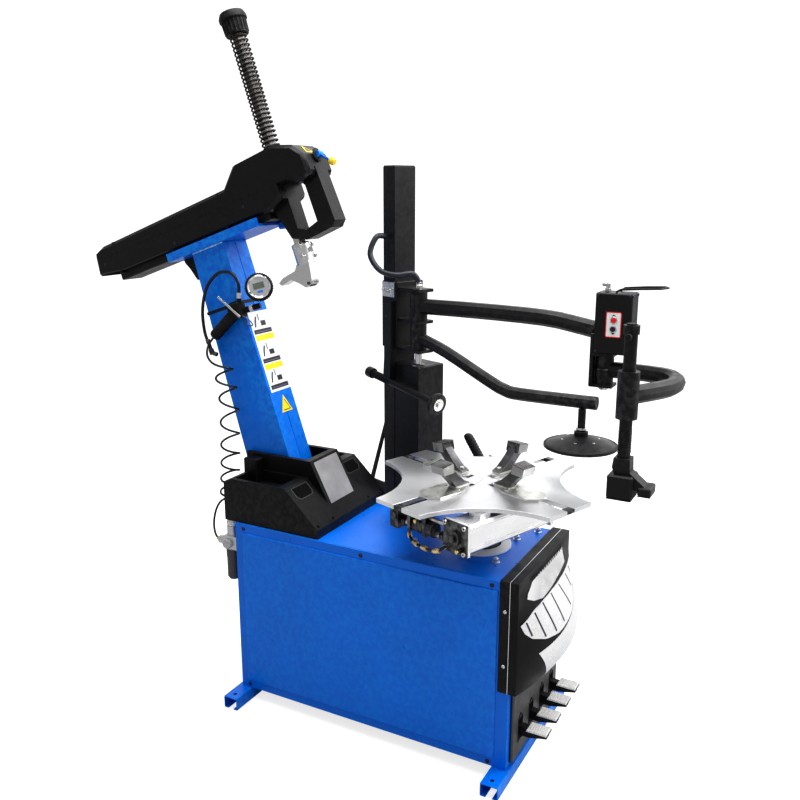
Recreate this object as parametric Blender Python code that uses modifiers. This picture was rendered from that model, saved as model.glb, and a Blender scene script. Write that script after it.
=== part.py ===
"""Tyre changer with a tilting column and a helper arm. Metres, +Z up.

The machine frame has its origin on the floor under the turntable's axis: the operator stands at -Y, +X is the
operator's right. The empty MACHINE moves that frame so that the model's origin is the bottom centre of its box.
"""
import math

import bmesh
import bpy
from mathutils import Matrix, Vector

# ---------------------------------------------------------------- driving dimensions
ORIGIN = Vector((-0.0364, -0.4402, 0.0))   # where the turntable's axis stands from the bottom centre of the box
GAP = 0.0003                 # between neighbours that touch
SLIDE = 0.0006               # running clearance of pins and slides

CAB_X = 0.2065               # half width of the cabinet
CAB_FRONT, CAB_BACK = -0.180, 0.731
CAB_BOTTOM, CAB_TOP = 0.041, 0.600
SHEET = 0.004                # sheet metal of the cabinet

TABLE_R = 0.331              # radius of the star plate's tips
TABLE_TOP = 0.795
TABLE_THICK = 0.012
ARM_HEADINGS = (160, 250, 340, 70)
TIP_HALF_ANGLE = 15.1
SCALLOP_R = 0.2255           # from the axis to the middle of a scallop
SLOT_HALF = 0.0155
JAW_R = 0.150                # where the jaws stand at rest

PEDAL_X = (-0.130, -0.045, 0.045, 0.130)
PEDAL_SHAFT = Vector((0.0, -0.115, 0.135))

TILT_HINGE = Vector((0.0, 0.660, 0.640))
TILT_REST = math.radians(18.73)            # how far the column leans back at rest
LEVER = 0.120
LEVER_LEAN = math.radians(9.35)
COLUMN_FOOT = Vector((0.0, 0.628, 0.787))  # the column's front face where it leaves the tray
COL_X = 0.056
SHAFT_FWD = 0.235            # tool shaft's axis, forward of the column's front face
SHAFT_R = 0.020

ASSIST_CORNER = Vector((0.249, 0.332, 0.0))
ASSIST_TURN = math.radians(-21.0)
ASSIST_BOX = 0.115
ARM_PIVOT = Vector((0.020, 0.020, 0.0))    # in the assist column's own frame
PIN_R = 0.010
ELBOW = Vector((0.250, -0.270, 0.0))
PRESS = Vector((-0.082, -0.420, 0.0))
DISC = Vector((0.151, -0.240, 0.0))

BREAKER_HINGE = Vector((0.245, 0.680, 0.290))
ROD_Y, ROD_Z = 0.400, 0.290

COIL_R = 0.0325
UP = Vector((0, 0, 1))

for old in list(bpy.data.objects):
    bpy.data.objects.remove(old)


def new_collection(name, hidden=False):
    made = bpy.data.collections.new(name)
    bpy.context.scene.collection.children.link(made)
    made.hide_render = hidden
    return made


PARTS = new_collection("tire_changer")
TOOLS = new_collection("cutters", hidden=True)


def material(name, colour, rough, metal=0.0):
    made = bpy.data.materials.new(name)
    made.use_nodes = True
    shader = made.node_tree.nodes["Principled BSDF"]
    shader.inputs["Base Color"].default_value = (*colour, 1.0)
    shader.inputs["Roughness"].default_value = rough
    shader.inputs["Metallic"].default_value = metal
    made.diffuse_color = (*colour, 1.0)
    return made


BLUE = material("blue_paint", (0.01, 0.16, 0.62), 0.35)
BLACK = material("black_paint", (0.015, 0.015, 0.017), 0.45)
PLASTIC = material("black_plastic", (0.02, 0.02, 0.022), 0.55)
STEEL = material("brushed_steel", (0.55, 0.56, 0.58), 0.35, 1.0)
ALLOY = material("aluminium", (0.80, 0.80, 0.81), 0.4, 1.0)
CHROME = material("chrome", (0.75, 0.74, 0.74), 0.15, 1.0)
RUBBER = material("rubber", (0.02, 0.02, 0.02), 0.8)
IRON = material("cast_iron", (0.10, 0.10, 0.11), 0.6, 0.6)
RED = material("red_button", (0.8, 0.02, 0.02), 0.35)


# ---------------------------------------------------------------- frames
def frame(name, parent=None, at=(0, 0, 0), turn=(0, 0, 0)):
    empty = bpy.data.objects.new(name, None)
    empty.empty_display_size = 0.05
    empty.location = at
    empty.rotation_euler = turn
    empty.parent = parent
    PARTS.objects.link(empty)
    return empty


MACHINE = frame("MACHINE", at=ORIGIN)
HINGE = frame("TILT_HINGE", MACHINE, TILT_HINGE, (-TILT_REST, 0, 0))
FOOT_IN_HINGE = Matrix.Rotation(TILT_REST, 3, "X") @ (COLUMN_FOOT - TILT_HINGE)
COLUMN = frame("COLUMN", HINGE, FOOT_IN_HINGE)
ASSIST = frame("ASSIST", MACHINE, ASSIST_CORNER, (0, 0, ASSIST_TURN))


# ---------------------------------------------------------------- shapes, made as tools until a node claims them
def keep(mesh, at=(0, 0, 0), turn=None):
    obj = bpy.data.objects.new("shape", mesh)
    obj.location = at
    if turn is not None:
        obj.rotation_euler = turn.to_euler()
    obj.hide_render = True
    obj.display_type = "WIRE"
    TOOLS.objects.link(obj)
    return obj


def from_bmesh(bm, at=(0, 0, 0), turn=None, smooth=False):
    mesh = bpy.data.meshes.new("shape")
    bmesh.ops.recalc_face_normals(bm, faces=bm.faces)
    bm.to_mesh(mesh)
    bm.free()
    if smooth:
        mesh.shade_smooth()
        mesh.set_sharp_from_angle(angle=math.radians(35))
    return keep(mesh, at, turn)


def box(lo, hi, bevel=0.0, segments=1, turn=None):
    lo, hi = Vector(lo), Vector(hi)
    bm = bmesh.new()
    bmesh.ops.create_cube(bm, size=1.0)
    bmesh.ops.scale(bm, vec=hi - lo, verts=bm.verts)
    obj = from_bmesh(bm, (lo + hi) / 2, turn)
    if bevel:
        rounding = obj.modifiers.new("rounding", "BEVEL")
        rounding.width = bevel
        rounding.segments = segments
    return obj


def toward(axis):
    return UP.rotation_difference(Vector(axis).normalized())


def cylinder(base, axis, length, radius, sides=24, top=None):
    axis = Vector(axis).normalized()
    bm = bmesh.new()
    bmesh.ops.create_cone(bm, cap_ends=True, segments=sides, radius1=radius,
                          radius2=radius if top is None else top, depth=length)
    return from_bmesh(bm, Vector(base) + axis * (length / 2), toward(axis), smooth=True)


def between(start, end, radius, sides=16):
    span = Vector(end) - Vector(start)
    return cylinder(start, span, span.length, radius, sides)


def turned(profile, at, axis=(0, 0, 1), steps=24):
    """A closed ring or solid of revolution: profile is (radius, height), down its outer side."""
    mesh = bpy.data.meshes.new("profile")
    edges = [(i, i + 1) for i in range(len(profile) - 1)]
    if profile[0][0] > 0.0:
        edges.append((len(profile) - 1, 0))
    mesh.from_pydata([(r, 0.0, h) for r, h in profile], edges, [])
    obj = keep(mesh, at, toward(axis))
    screw = obj.modifiers.new("turn", "SCREW")
    screw.steps = steps
    screw.render_steps = steps
    screw.use_merge_vertices = True
    screw.merge_threshold = 0.0001
    return obj


def solid_mesh(curve, at=(0, 0, 0), turn=None):
    """The curve as a welded mesh object."""
    holder = bpy.data.objects.new("curve", curve)
    TOOLS.objects.link(holder)
    graph = bpy.context.evaluated_depsgraph_get()
    mesh = bpy.data.meshes.new_from_object(holder.evaluated_get(graph))
    bpy.data.objects.remove(holder)
    bm = bmesh.new()
    bm.from_mesh(mesh)
    bmesh.ops.remove_doubles(bm, verts=bm.verts, dist=0.00001)
    return from_bmesh(bm, at, turn, smooth=True)


def prism(outline, lo, hi, plane="YZ"):
    """A flat outline, extruded from lo to hi along the axis that its plane leaves out."""
    curve = bpy.data.curves.new("outline", "CURVE")
    curve.dimensions = "2D"
    curve.fill_mode = "BOTH"
    curve.extrude = (hi - lo) / 2
    line = curve.splines.new("POLY")
    line.points.add(len(outline) - 1)
    for point, (a, b) in zip(line.points, outline):
        point.co = (a, b, 0.0, 1.0)
    line.use_cyclic_u = True
    turns = {"YZ": Matrix(((0, 0, 1), (1, 0, 0), (0, 1, 0))),
             "XZ": Matrix(((1, 0, 0), (0, 0, -1), (0, 1, 0))),
             "XY": Matrix.Identity(3)}
    middle = (lo + hi) / 2
    at = {"YZ": (middle, 0, 0), "XZ": (0, middle, 0), "XY": (0, 0, middle)}[plane]
    return solid_mesh(curve, at, turns[plane])


def smooth_path(points, per_span):
    """Points on a Catmull-Rom curve through the given ones."""
    pts = [Vector(p) for p in points]
    ends = [pts[0] * 2 - pts[1]] + pts + [pts[-1] * 2 - pts[-2]]
    out = []
    for a, b, c, d in zip(ends, ends[1:], ends[2:], ends[3:]):
        for i in range(per_span):
            t = i / per_span
            out.append(0.5 * (2 * b + (c - a) * t + (2 * a - 5 * b + 4 * c - d) * t ** 2
                              + (3 * b - a - 3 * c + d) * t ** 3))
    return out + [pts[-1]]


def tube_curve(points, radius, resolution=2):
    curve = bpy.data.curves.new("tube", "CURVE")
    curve.dimensions = "3D"
    curve.bevel_depth = radius
    curve.bevel_resolution = resolution
    curve.use_fill_caps = True
    line = curve.splines.new("POLY")
    line.points.add(len(points) - 1)
    for point, co in zip(line.points, points):
        point.co = (*co, 1.0)
    return curve


def tube(points, radius, resolution=2):
    return solid_mesh(tube_curve(points, radius, resolution))


def node(name, colour, parent, base, *steps):
    """Names the base shape, and joins ('+') or cuts ('-') the shapes that follow."""
    base.name = name
    base.data.name = name
    base.hide_render = False
    base.display_type = "TEXTURED"
    TOOLS.objects.unlink(base)
    PARTS.objects.link(base)
    base.data.materials.append(colour)
    base.parent = parent
    for sign, shape in zip(steps[::2], steps[1::2]):
        shape.parent = shape.parent or parent
        shape.name = name + "_tool"
        joint = base.modifiers.new("join" if sign == "+" else "cut", "BOOLEAN")
        joint.operation = "UNION" if sign == "+" else "DIFFERENCE"
        joint.solver = "EXACT"
        joint.object = shape
    return base


def placed(shape, parent):
    shape.parent = parent
    return shape


def col(fwd, up, x=0.0):
    """A point given forward of the column's front face and up along it, in the column's frame."""
    return Vector((x, -fwd, up))


# ---------------------------------------------------------------- base: cabinet, feet, covers
def cabinet():
    left = -CAB_X + 0.0036
    node("cabinet_shell", BLUE, MACHINE,
         box((left, CAB_FRONT, CAB_BOTTOM), (CAB_X, CAB_BACK, CAB_TOP), 0.003),
         "-", box((left + SHEET, CAB_FRONT + SHEET, CAB_BOTTOM - 0.02),
                  (CAB_X - SHEET, CAB_BACK - SHEET, CAB_TOP - SHEET)),
         "-", box((left - 0.02, CAB_FRONT + 0.03, CAB_BOTTOM + 0.03),
                  (left + 0.02, CAB_BACK - 0.03, CAB_TOP - 0.03)),
         "-", cylinder((0, 0, CAB_TOP - 0.02), UP, 0.04, 0.062, 32),
         "-", box((-0.070, 0.570, CAB_TOP - 0.02), (0.070, 0.715, CAB_TOP + 0.02)),
         "-", box((-0.172, CAB_FRONT - 0.02, 0.085), (0.172, CAB_FRONT + 0.02, 0.178)),
         "-", cylinder((CAB_X - 0.02, ROD_Y, ROD_Z), (1, 0, 0), 0.04, 0.020),
         "+", box((CAB_X - 0.001, 0.655, 0.235), (0.268, 0.705, 0.245)),
         "+", box((CAB_X - 0.001, 0.655, 0.335), (0.268, 0.705, 0.345)),
         "+", cylinder((BREAKER_HINGE.x, BREAKER_HINGE.y, 0.240), UP, 0.100, PIN_R, 16))
    node("side_panel", BLUE, MACHINE,
         box((-CAB_X, CAB_FRONT, CAB_BOTTOM), (-CAB_X + 0.0033, CAB_BACK, CAB_TOP)),
         "+", box((-CAB_X - 0.004, CAB_FRONT + 0.036, CAB_BOTTOM + 0.027),
                  (-CAB_X + 0.001, CAB_BACK - 0.026, CAB_TOP - 0.027), 0.0035),
         "-", box((-CAB_X - 0.002, CAB_FRONT + 0.044, CAB_BOTTOM + 0.035),
                  (-CAB_X + 0.02, CAB_BACK - 0.034, CAB_TOP - 0.035)))


def foot(name, front, back):
    wall = 0.003
    top = CAB_BOTTOM - GAP
    half = 0.287
    middle = (front + back) / 2
    node(name, BLUE, MACHINE,
         box((-half, front, 0.0), (half, back, top), 0.004, 2),
         "-", box((-half - 0.01, front + wall, wall), (half + 0.01, back - wall, top - wall)),
         "-", box((-half - 0.01, middle - 0.010, -0.01), (half + 0.01, middle + 0.010, 0.01)),
         "-", cylinder((-0.262, middle, 0.02), UP, 0.04, 0.006, 12),
         "-", cylinder((0.262, middle, 0.02), UP, 0.04, 0.006, 12))


def bulged_cover():
    """The moulded front cover: a swelling face with side and top walls that reach back round the cabinet."""
    half, bottom, top, face, rear = 0.2125, 0.280, 0.6060, -0.2025, -0.150
    columns, rows, swell = 14, 11, 0.085
    bm = bmesh.new()
    grid = []
    for j in range(rows + 1):
        z = bottom + (top - bottom) * j / rows
        fullness = 0.06 + 0.94 * math.sin(math.pi * 0.88 * ((top - z) / (top - bottom)) ** 1.35)
        line = []
        for i in range(columns + 1):
            x = -half + 2 * half * i / columns
            across = math.cos(math.pi / 2 * x / half) ** 0.8 if abs(x) < half else 0.0
            line.append(bm.verts.new((x, face - swell * fullness * across, z)))
        grid.append(line)
    for low, high in zip(grid, grid[1:]):
        for a, b, c, d in zip(low, low[1:], high[1:], high):
            bm.faces.new((a, b, c, d))
    rim = [line[0] for line in grid] + grid[-1][1:-1] + [line[-1] for line in reversed(grid)]
    back = [bm.verts.new((v.co.x, rear, v.co.z)) for v in rim]
    for a, b, c, d in zip(rim, rim[1:], back[1:], back):
        bm.faces.new((a, b, c, d))
    cover = from_bmesh(bm, smooth=True)
    wall = cover.modifiers.new("wall", "SOLIDIFY")
    wall.thickness = 0.003
    wall.offset = -1.0
    node("front_cover", PLASTIC, MACHINE, cover)


def pedal_plate():
    slots = []
    for x in PEDAL_X:
        slots += ["-", box((x - 0.0135, -0.22, 0.096), (x + 0.0135, -0.16, 0.166))]
    node("pedal_plate", PLASTIC, MACHINE,
         box((-0.185, -0.1905, 0.050), (0.185, CAB_FRONT - GAP, 0.272), 0.004),
         *slots,
         "+", box((-0.1680, -0.185, 0.122), (-0.1600, -0.103, 0.148)),
         "+", box((0.1600, -0.185, 0.122), (0.1680, -0.103, 0.148)),
         "+", cylinder((-0.164, PEDAL_SHAFT.y, PEDAL_SHAFT.z), (1, 0, 0), 0.328, 0.007, 16))


def pedals():
    side = [(-0.100, 0.121), (-0.100, 0.149), (-0.200, 0.146), (-0.272, 0.1378), (-0.272, 0.129), (-0.220, 0.117)]
    for number, x in enumerate(PEDAL_X, 1):
        node(f"pedal_{number}", BLACK, MACHINE,
             prism(side, x - 0.011, x + 0.011),
             "+", box((x - 0.025, -0.275, 0.1365), (x + 0.025, -0.215, 0.1435), 0.002),
             "-", cylinder((x - 0.02, PEDAL_SHAFT.y, PEDAL_SHAFT.z), (1, 0, 0), 0.04, 0.007 + SLIDE, 16))


def tray_cover():
    """Moulded cover at the column's foot: two tray wings and a hump that the column comes out of."""
    outer = [(0.775, CAB_TOP + GAP), (0.775, 0.725), (0.745, 0.738), (0.545, 0.738), (0.430, 0.628),
             (0.430, CAB_TOP + GAP)]
    inner = [(0.772, 0.58), (0.772, 0.722), (0.744, 0.735), (0.546, 0.735), (0.433, 0.6265), (0.433, 0.58)]
    hump = [(0.775, 0.61), (0.775, 0.790), (0.535, 0.790), (0.447, 0.622), (0.447, 0.61)]
    hollow = [(0.772, 0.59), (0.772, 0.787), (0.537, 0.787), (0.451, 0.622), (0.451, 0.59)]
    steps = ["+", prism(hump, -0.078, 0.078), "-", prism(inner, -0.197, 0.197), "-", prism(hollow, -0.075, 0.075)]
    for side in (-1, 1):
        near, far = sorted((side * 0.0765, side * 0.190))
        steps += ["+", box((near, 0.570, 0.7000), (far, 0.742, 0.7365))]
        near, far = sorted((side * 0.088, side * 0.187))
        steps += ["-", box((near, 0.573, 0.7030), (far, 0.739, 0.7600))]
    steps += ["-", box((-0.0625, 0.556, 0.655), (0.0625, 0.80, 0.85)),
              "+", box((-0.115, 0.712, 0.7015), (-0.0775, 0.762, 0.780), 0.003)]
    node("column_tray_cover", PLASTIC, MACHINE, prism(outer, -0.200, 0.200), *steps)


# ---------------------------------------------------------------- base: drive and cylinders inside
def hinge_bracket():
    y, z = TILT_HINGE.y, TILT_HINGE.z
    steps = ["-", box((-0.022, y - 0.036, 0.59), (0.022, y + 0.036, 0.62))]
    for side in (-1, 1):
        near, far = sorted((side * 0.0585, side * 0.0645))
        steps += ["+", box((near, y - 0.026, 0.603), (far, y + 0.026, z + 0.026), 0.004)]
    node("tilt_hinge_bracket", BLACK, MACHINE,
         box((-0.085, y - 0.048, CAB_TOP + GAP), (0.085, y + 0.050, CAB_TOP + 0.0063)), *steps,
         "-", cylinder((-0.08, y, z), (1, 0, 0), 0.16, PIN_R + SLIDE, 16))


def belt_outline(small, large, span, sides=10):
    """The line round two pulleys whose centres lie span apart along +Y."""
    lean = math.asin((large - small) / span)
    top = [(small * math.cos(a), span + small * math.sin(a)) for a in
           [lean + (math.pi - 2 * lean) * i / sides for i in range(sides + 1)]]
    low = [(large * math.cos(a), large * math.sin(a)) for a in
           [math.pi - lean + (math.pi + 2 * lean) * i / sides for i in range(sides + 1)]]
    return top + low


def drive():
    node("gearbox", IRON, MACHINE,
         box((-0.075, -0.085, 0.460), (0.075, 0.095, CAB_TOP - SHEET - GAP), 0.006),
         "+", cylinder((0, 0, 0.58), UP, 0.045, 0.058, 32),
         "+", cylinder((0, 0, 0.215), UP, 0.25, 0.012, 12),
         "+", cylinder((0, 0, 0.205), UP, 0.030, 0.045, 24),
         "+", box((-0.060, 0.090, 0.470), (0.060, 0.270, 0.478)))
    node("drive_motor", IRON, MACHINE,
         cylinder((0, 0.200, 0.250), UP, 0.2197, 0.062, 24),
         "+", cylinder((0, 0.200, 0.215), UP, 0.06, 0.010, 12),
         "+", cylinder((0, 0.200, 0.205), UP, 0.030, 0.030, 24),
         "+", box((-0.095, 0.170, 0.330), (-0.050, 0.230, 0.400), 0.004))
    thick = 0.004
    node("drive_belt", RUBBER, MACHINE,
         prism(belt_outline(0.0310 + thick, 0.0462 + thick, 0.200), 0.211, 0.229, "XY"),
         "-", prism(belt_outline(0.0310, 0.0462, 0.200), 0.200, 0.240, "XY"))


def cylinders():
    along = (1, 0, 0)
    node("breaker_cylinder", BLACK, MACHINE,
         cylinder((-0.170, ROD_Y, ROD_Z), along, 0.236, 0.092, 32),
         "-", cylinder((-0.164, ROD_Y, ROD_Z), along, 0.224, 0.085, 24),
         "-", cylinder((0.0, ROD_Y, ROD_Z), along, 0.2, 0.0125 + SLIDE, 16),
         "+", box((-0.152, ROD_Y - 0.030, ROD_Z + 0.0865), (-0.144, ROD_Y + 0.030, CAB_TOP - SHEET - GAP)),
         "+", box((0.042, ROD_Y - 0.030, ROD_Z + 0.0865), (0.050, ROD_Y + 0.030, CAB_TOP - SHEET - GAP)))
    z = TILT_HINGE.z - LEVER * math.cos(LEVER_LEAN) - 0.0008
    back = (0, 1, 0)
    node("tilt_cylinder", BLACK, MACHINE,
         cylinder((0, 0.360, z), back, 0.200, 0.034, 24),
         "-", cylinder((0, 0.366, z), back, 0.188, 0.029, 20),
         "-", cylinder((0, 0.500, z), back, 0.2, 0.009 + SLIDE, 16),
         "+", box((-0.012, 0.340, z - 0.02), (0.012, 0.364, CAB_TOP - SHEET - GAP)))
    lever_y = TILT_HINGE.y - LEVER * math.sin(LEVER_LEAN)
    node("tilt_cylinder_rod", CHROME, MACHINE,
         cylinder((0, 0.400, z), back, 0.215, 0.009, 16),
         "+", cylinder((0, 0.396, z), back, 0.014, 0.0285, 20),
         "+", box((-0.021, 0.605, z - 0.016), (0.021, lever_y + 0.020, z + 0.016)),
         "-", box((-0.0135, 0.617, z - 0.03), (0.0135, lever_y + 0.04, z + 0.03)),
         "-", box((-0.05, lever_y - 0.0095, z - 0.0115), (0.05, lever_y + 0.0095, z + 0.0115)))


def air_regulator():
    x, y = -0.178, 0.766
    node("air_regulator", ALLOY, MACHINE,
         box((x - 0.024, CAB_BACK + GAP, 0.500), (x + 0.024, y + 0.024, 0.545), 0.004),
         "+", cylinder((x, y, 0.405), UP, 0.100, 0.020, 20),
         "+", cylinder((x, y, 0.540), UP, 0.036, 0.017, 16),
         "+", cylinder((x - 0.006, y + 0.020, 0.522), (0, 1, 0), 0.026, 0.013, 16))


# ---------------------------------------------------------------- turntable
def star_outline():
    """Four arms with straight ends, and an arc between each two."""
    points = []
    for heading in sorted(ARM_HEADINGS):
        right, left = (math.radians(heading + s * TIP_HALF_ANGLE) for s in (-1, 1))
        following = left + math.radians(90 - 2 * TIP_HALF_ANGLE)
        points.append((TABLE_R * math.cos(right), TABLE_R * math.sin(right)))
        a = Vector((TABLE_R * math.cos(left), TABLE_R * math.sin(left)))
        b = Vector((TABLE_R * math.cos(following), TABLE_R * math.sin(following)))
        chord = (b - a) / 2
        outward = (a + b).normalized()
        rise = ((a + b) / 2).length - SCALLOP_R
        radius = (chord.length ** 2 + rise ** 2) / (2 * rise)
        centre = (a + b) / 2 + outward * (radius - rise)
        start = math.atan2(a.y - centre.y, a.x - centre.x)
        sweep = 2 * math.asin(chord.length / radius)
        for i in range(11):
            angle = start - sweep * i / 10
            points.append((centre.x + radius * math.cos(angle), centre.y + radius * math.sin(angle)))
        points.pop()
    return points


def radial(heading, along, across):
    angle = math.radians(heading)
    out = Vector((math.cos(angle), math.sin(angle), 0))
    side = Vector((-math.sin(angle), math.cos(angle), 0))
    return out * along + side * across


def radial_box(heading, inner, outer, half, low, high, shift=0.0, bevel=0.0):
    shape = box((inner, shift - half, low), (outer, shift + half, high), bevel)
    turn = Matrix.Rotation(math.radians(heading), 4, "Z")
    shape.matrix_basis = turn @ Matrix.Translation(((inner + outer) / 2, shift, (low + high) / 2))
    return shape


def turntable():
    low = TABLE_TOP - TABLE_THICK
    slots = []
    for heading in ARM_HEADINGS:
        slots += ["-", radial_box(heading, 0.040, 0.36, SLOT_HALF, low - 0.02, TABLE_TOP + 0.02)]
    node("turntable_plate", STEEL, MACHINE, prism(star_outline(), low, TABLE_TOP, "XY"), *slots)
    node("turntable_hub", IRON, MACHINE,
         cylinder((0, 0, 0.6253), UP, 0.130, 0.036, 24),
         "+", cylinder((0, 0, 0.6253), UP, 0.016, 0.055, 32),
         "+", radial_box(70, -0.075, 0.075, 0.075, 0.735, low - GAP, bevel=0.004))
    for name, side in (("clamp_cylinder_left", -1), ("clamp_cylinder_right", 1)):
        axis, half = 0.1465 * side, 0.0395
        near, far = sorted((side * -0.085, side * 0.240))
        caps = [sorted((side * 0.239, side * 0.248)), sorted((side * -0.083, side * -0.092))]
        steps = []
        for a, b in caps:
            steps += ["+", radial_box(340, a, b, 0.0435, 0.690, 0.777, axis)]
        for spot in (-0.04, 0.16):
            steps += ["+", radial_box(340, side * spot - 0.02, side * spot + 0.02, 0.02, 0.770, low - GAP, axis)]
        node(name, ALLOY, MACHINE, radial_box(340, near, far, half, 0.694, 0.773, axis, 0.006), *steps)


def jaws():
    """Each jaw is a wedge-shaped slide on the plate, keyed in its slot, with a claw bolted on."""
    low = TABLE_TOP + GAP
    wedge = [(0.045, 0.006), (0.118, 0.042), (0.200, 0.040), (0.225, 0.014)]
    wedge += [(r, -w) for r, w in reversed(wedge)]
    claw = [(0.062, 0.800), (0.062, 0.808), (0.080, 0.815), (0.108, 0.838), (0.132, 0.864), (0.138, 0.880),
            (0.172, 0.872), (0.168, 0.852), (0.150, 0.842), (0.128, 0.820), (0.112, 0.800)]
    head = [(0.131, 0.852), (0.137, 0.881), (0.177, 0.873), (0.170, 0.850)]
    for number, heading in enumerate(ARM_HEADINGS, 1):
        turn = Matrix.Rotation(math.radians(heading), 4, "Z")
        plate = prism(wedge, low, low + 0.006, "XY")
        plate.matrix_basis = turn @ plate.matrix_basis
        body = prism(claw, -0.014, 0.014, "XZ")
        body.matrix_basis = turn @ body.matrix_basis
        tooth = prism(head, -0.024, 0.024, "XZ")
        tooth.matrix_basis = turn @ tooth.matrix_basis
        node(f"clamp_jaw_{number}", STEEL, MACHINE, plate,
             "+", radial_box(heading, 0.085, 0.200, SLOT_HALF - SLIDE, TABLE_TOP - 0.010, low + 0.003),
             "+", body, "+", tooth)


# ---------------------------------------------------------------- tilting column
def column():
    deep_low, deep_top, low, top = 0.171, 0.132, -0.100, 0.695
    outer = [(0, low), (0, top), (deep_top, top), (deep_low, low)]
    inner = [(SHEET, low + 0.008), (SHEET, top + 0.02), (deep_top - SHEET, top + 0.02), (deep_low - SHEET, low + 0.008)]
    hinge = Matrix.Rotation(TILT_REST, 3, "X") @ (TILT_HINGE - COLUMN_FOOT)
    side_line = Matrix.Rotation(TILT_REST - LEVER_LEAN, 3, "X") @ -UP
    tip = hinge + side_line * LEVER
    steps = ["-", prism(inner, -COL_X + SHEET, COL_X - SHEET),
             "-", box((-0.0015, -0.01, low + 0.01), (0.0015, 0.0015, top + 0.02))]
    for side in (-1, 1):
        near, far = sorted((side * 0.044, side * COL_X))
        steps += ["+", box((near, hinge.y - 0.030, hinge.z - 0.024), (far, hinge.y + 0.030, low + 0.004))]
    web = Vector((0, -side_line.z, side_line.y)) * 0.014
    lever = [(hinge.y - 0.024, low + 0.004), (hinge.y + 0.024, low + 0.004)]
    lever += [(corner.y, corner.z) for corner in (tip + side_line * 0.014 + web, tip + side_line * 0.014 - web)]
    steps += ["+", prism(lever, -0.012, 0.012),
              "+", cylinder((-0.028, tip.y, tip.z), (1, 0, 0), 0.056, 0.008, 16),
              "-", cylinder((-0.08, hinge.y, hinge.z), (1, 0, 0), 0.16, PIN_R + GAP, 16)]
    node("column_post", BLUE, COLUMN, prism(outer, -COL_X, COL_X), *steps)
    node("tilt_hinge_pin", CHROME, COLUMN, cylinder((-0.070, hinge.y, hinge.z), (1, 0, 0), 0.140, PIN_R, 16))
    bottom = top + GAP
    hook = [(0.155, 0.70), (0.155, 0.665), (0.175, 0.625), (0.190, 0.640), (0.200, 0.700)]
    node("column_head_plate", BLUE, COLUMN,
         box((-0.070, -0.155, bottom), (0.070, 0.226, 0.722)),
         "-", box((-0.062, -0.2, bottom + 0.008), (0.062, 0.3, 0.74)),
         "+", prism(hook, -0.008, 0.008),
         "+", box((0.034, -0.215, bottom - 0.014), (0.068, -0.150, bottom + 0.0075), 0.003))


def reach_arm():
    """The arm that slides over the column's head and holds the tool shaft."""
    node("reach_arm_tube", BLACK, COLUMN,
         box((-0.045, -0.190, 0.7040), (0.045, 0.470, 0.775), 0.003),
         "-", box((-0.041, -0.140, 0.7080), (0.041, 0.480, 0.771)),
         "+", box((-0.030, -0.275, 0.800), (0.030, -0.150, 0.868)),
         "+", box((-0.030, -0.188, 0.760), (0.030, -0.150, 0.810)),
         "-", cylinder(col(SHAFT_FWD, 0.75), UP, 0.2, SHAFT_R + 0.0016, 6))
    shell = [(-0.551, 0.739), (-0.541, 0.813), (-0.494, 0.829), (0.062, 0.838), (0.118, 0.889), (0.283, 0.896),
             (0.340, 0.876), (0.375, 0.838), (0.381, 0.780), (0.300, 0.760), (0.200, 0.7235), (-0.433, 0.7235)]
    loop = [(0.190, 0.790), (0.200, 0.722), (0.232, 0.631), (0.283, 0.612), (0.377, 0.620), (0.394, 0.637),
            (0.381, 0.800)]
    hole = [(0.258, 0.790), (0.262, 0.652), (0.290, 0.640), (0.335, 0.652), (0.330, 0.760), (0.312, 0.790)]
    hollow = [(-0.546, 0.70), (-0.537, 0.808), (-0.491, 0.824), (0.064, 0.833), (0.120, 0.884), (0.180, 0.887),
              (0.180, 0.70)]
    flip = [[(-f, u) for f, u in line] for line in (shell, loop, hole, hollow)]
    cover = prism(flip[0], -0.065, 0.065)
    edge = cover.modifiers.new("rounding", "BEVEL")
    edge.width = 0.010
    edge.segments = 1
    edge.limit_method = "ANGLE"
    edge.angle_limit = math.radians(60)
    node("reach_arm_cover", PLASTIC, COLUMN, cover,
         "+", prism(flip[1], -0.030, 0.030),
         "-", prism(flip[2], -0.08, 0.08),
         "-", prism(flip[3], -0.061, 0.061),
         "+", box((-0.063, 0.440, 0.7240), (0.063, 0.446, 0.829)),
         "+", box((-0.063, -0.040, 0.7240), (0.063, -0.034, 0.834)),
         "-", box((-0.0465, -0.192, 0.70), (0.0465, 0.474, 0.7765)),
         "-", box((-0.032, -0.277, 0.7985), (0.032, -0.148, 0.8695)),
         "-", box((-0.032, -0.190, 0.76), (0.032, -0.148, 0.8)),
         "-", cylinder(col(SHAFT_FWD, 0.55), UP, 0.4, SHAFT_R + 0.0016, 16))
    pivot = col(0.3875, 0.834)
    node("lock_valve_lever", BLUE, COLUMN,
         cylinder(pivot - Vector((0.012, 0, 0)), (1, 0, 0), 0.024, 0.009, 16),
         "+", between(pivot, pivot + Vector((0, -0.035, -0.034)), 0.0040, 12),
         "+", cylinder(pivot + Vector((0, -0.030, -0.0285)), (0, -0.72, -0.69), 0.016, 0.010, 12))


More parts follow.
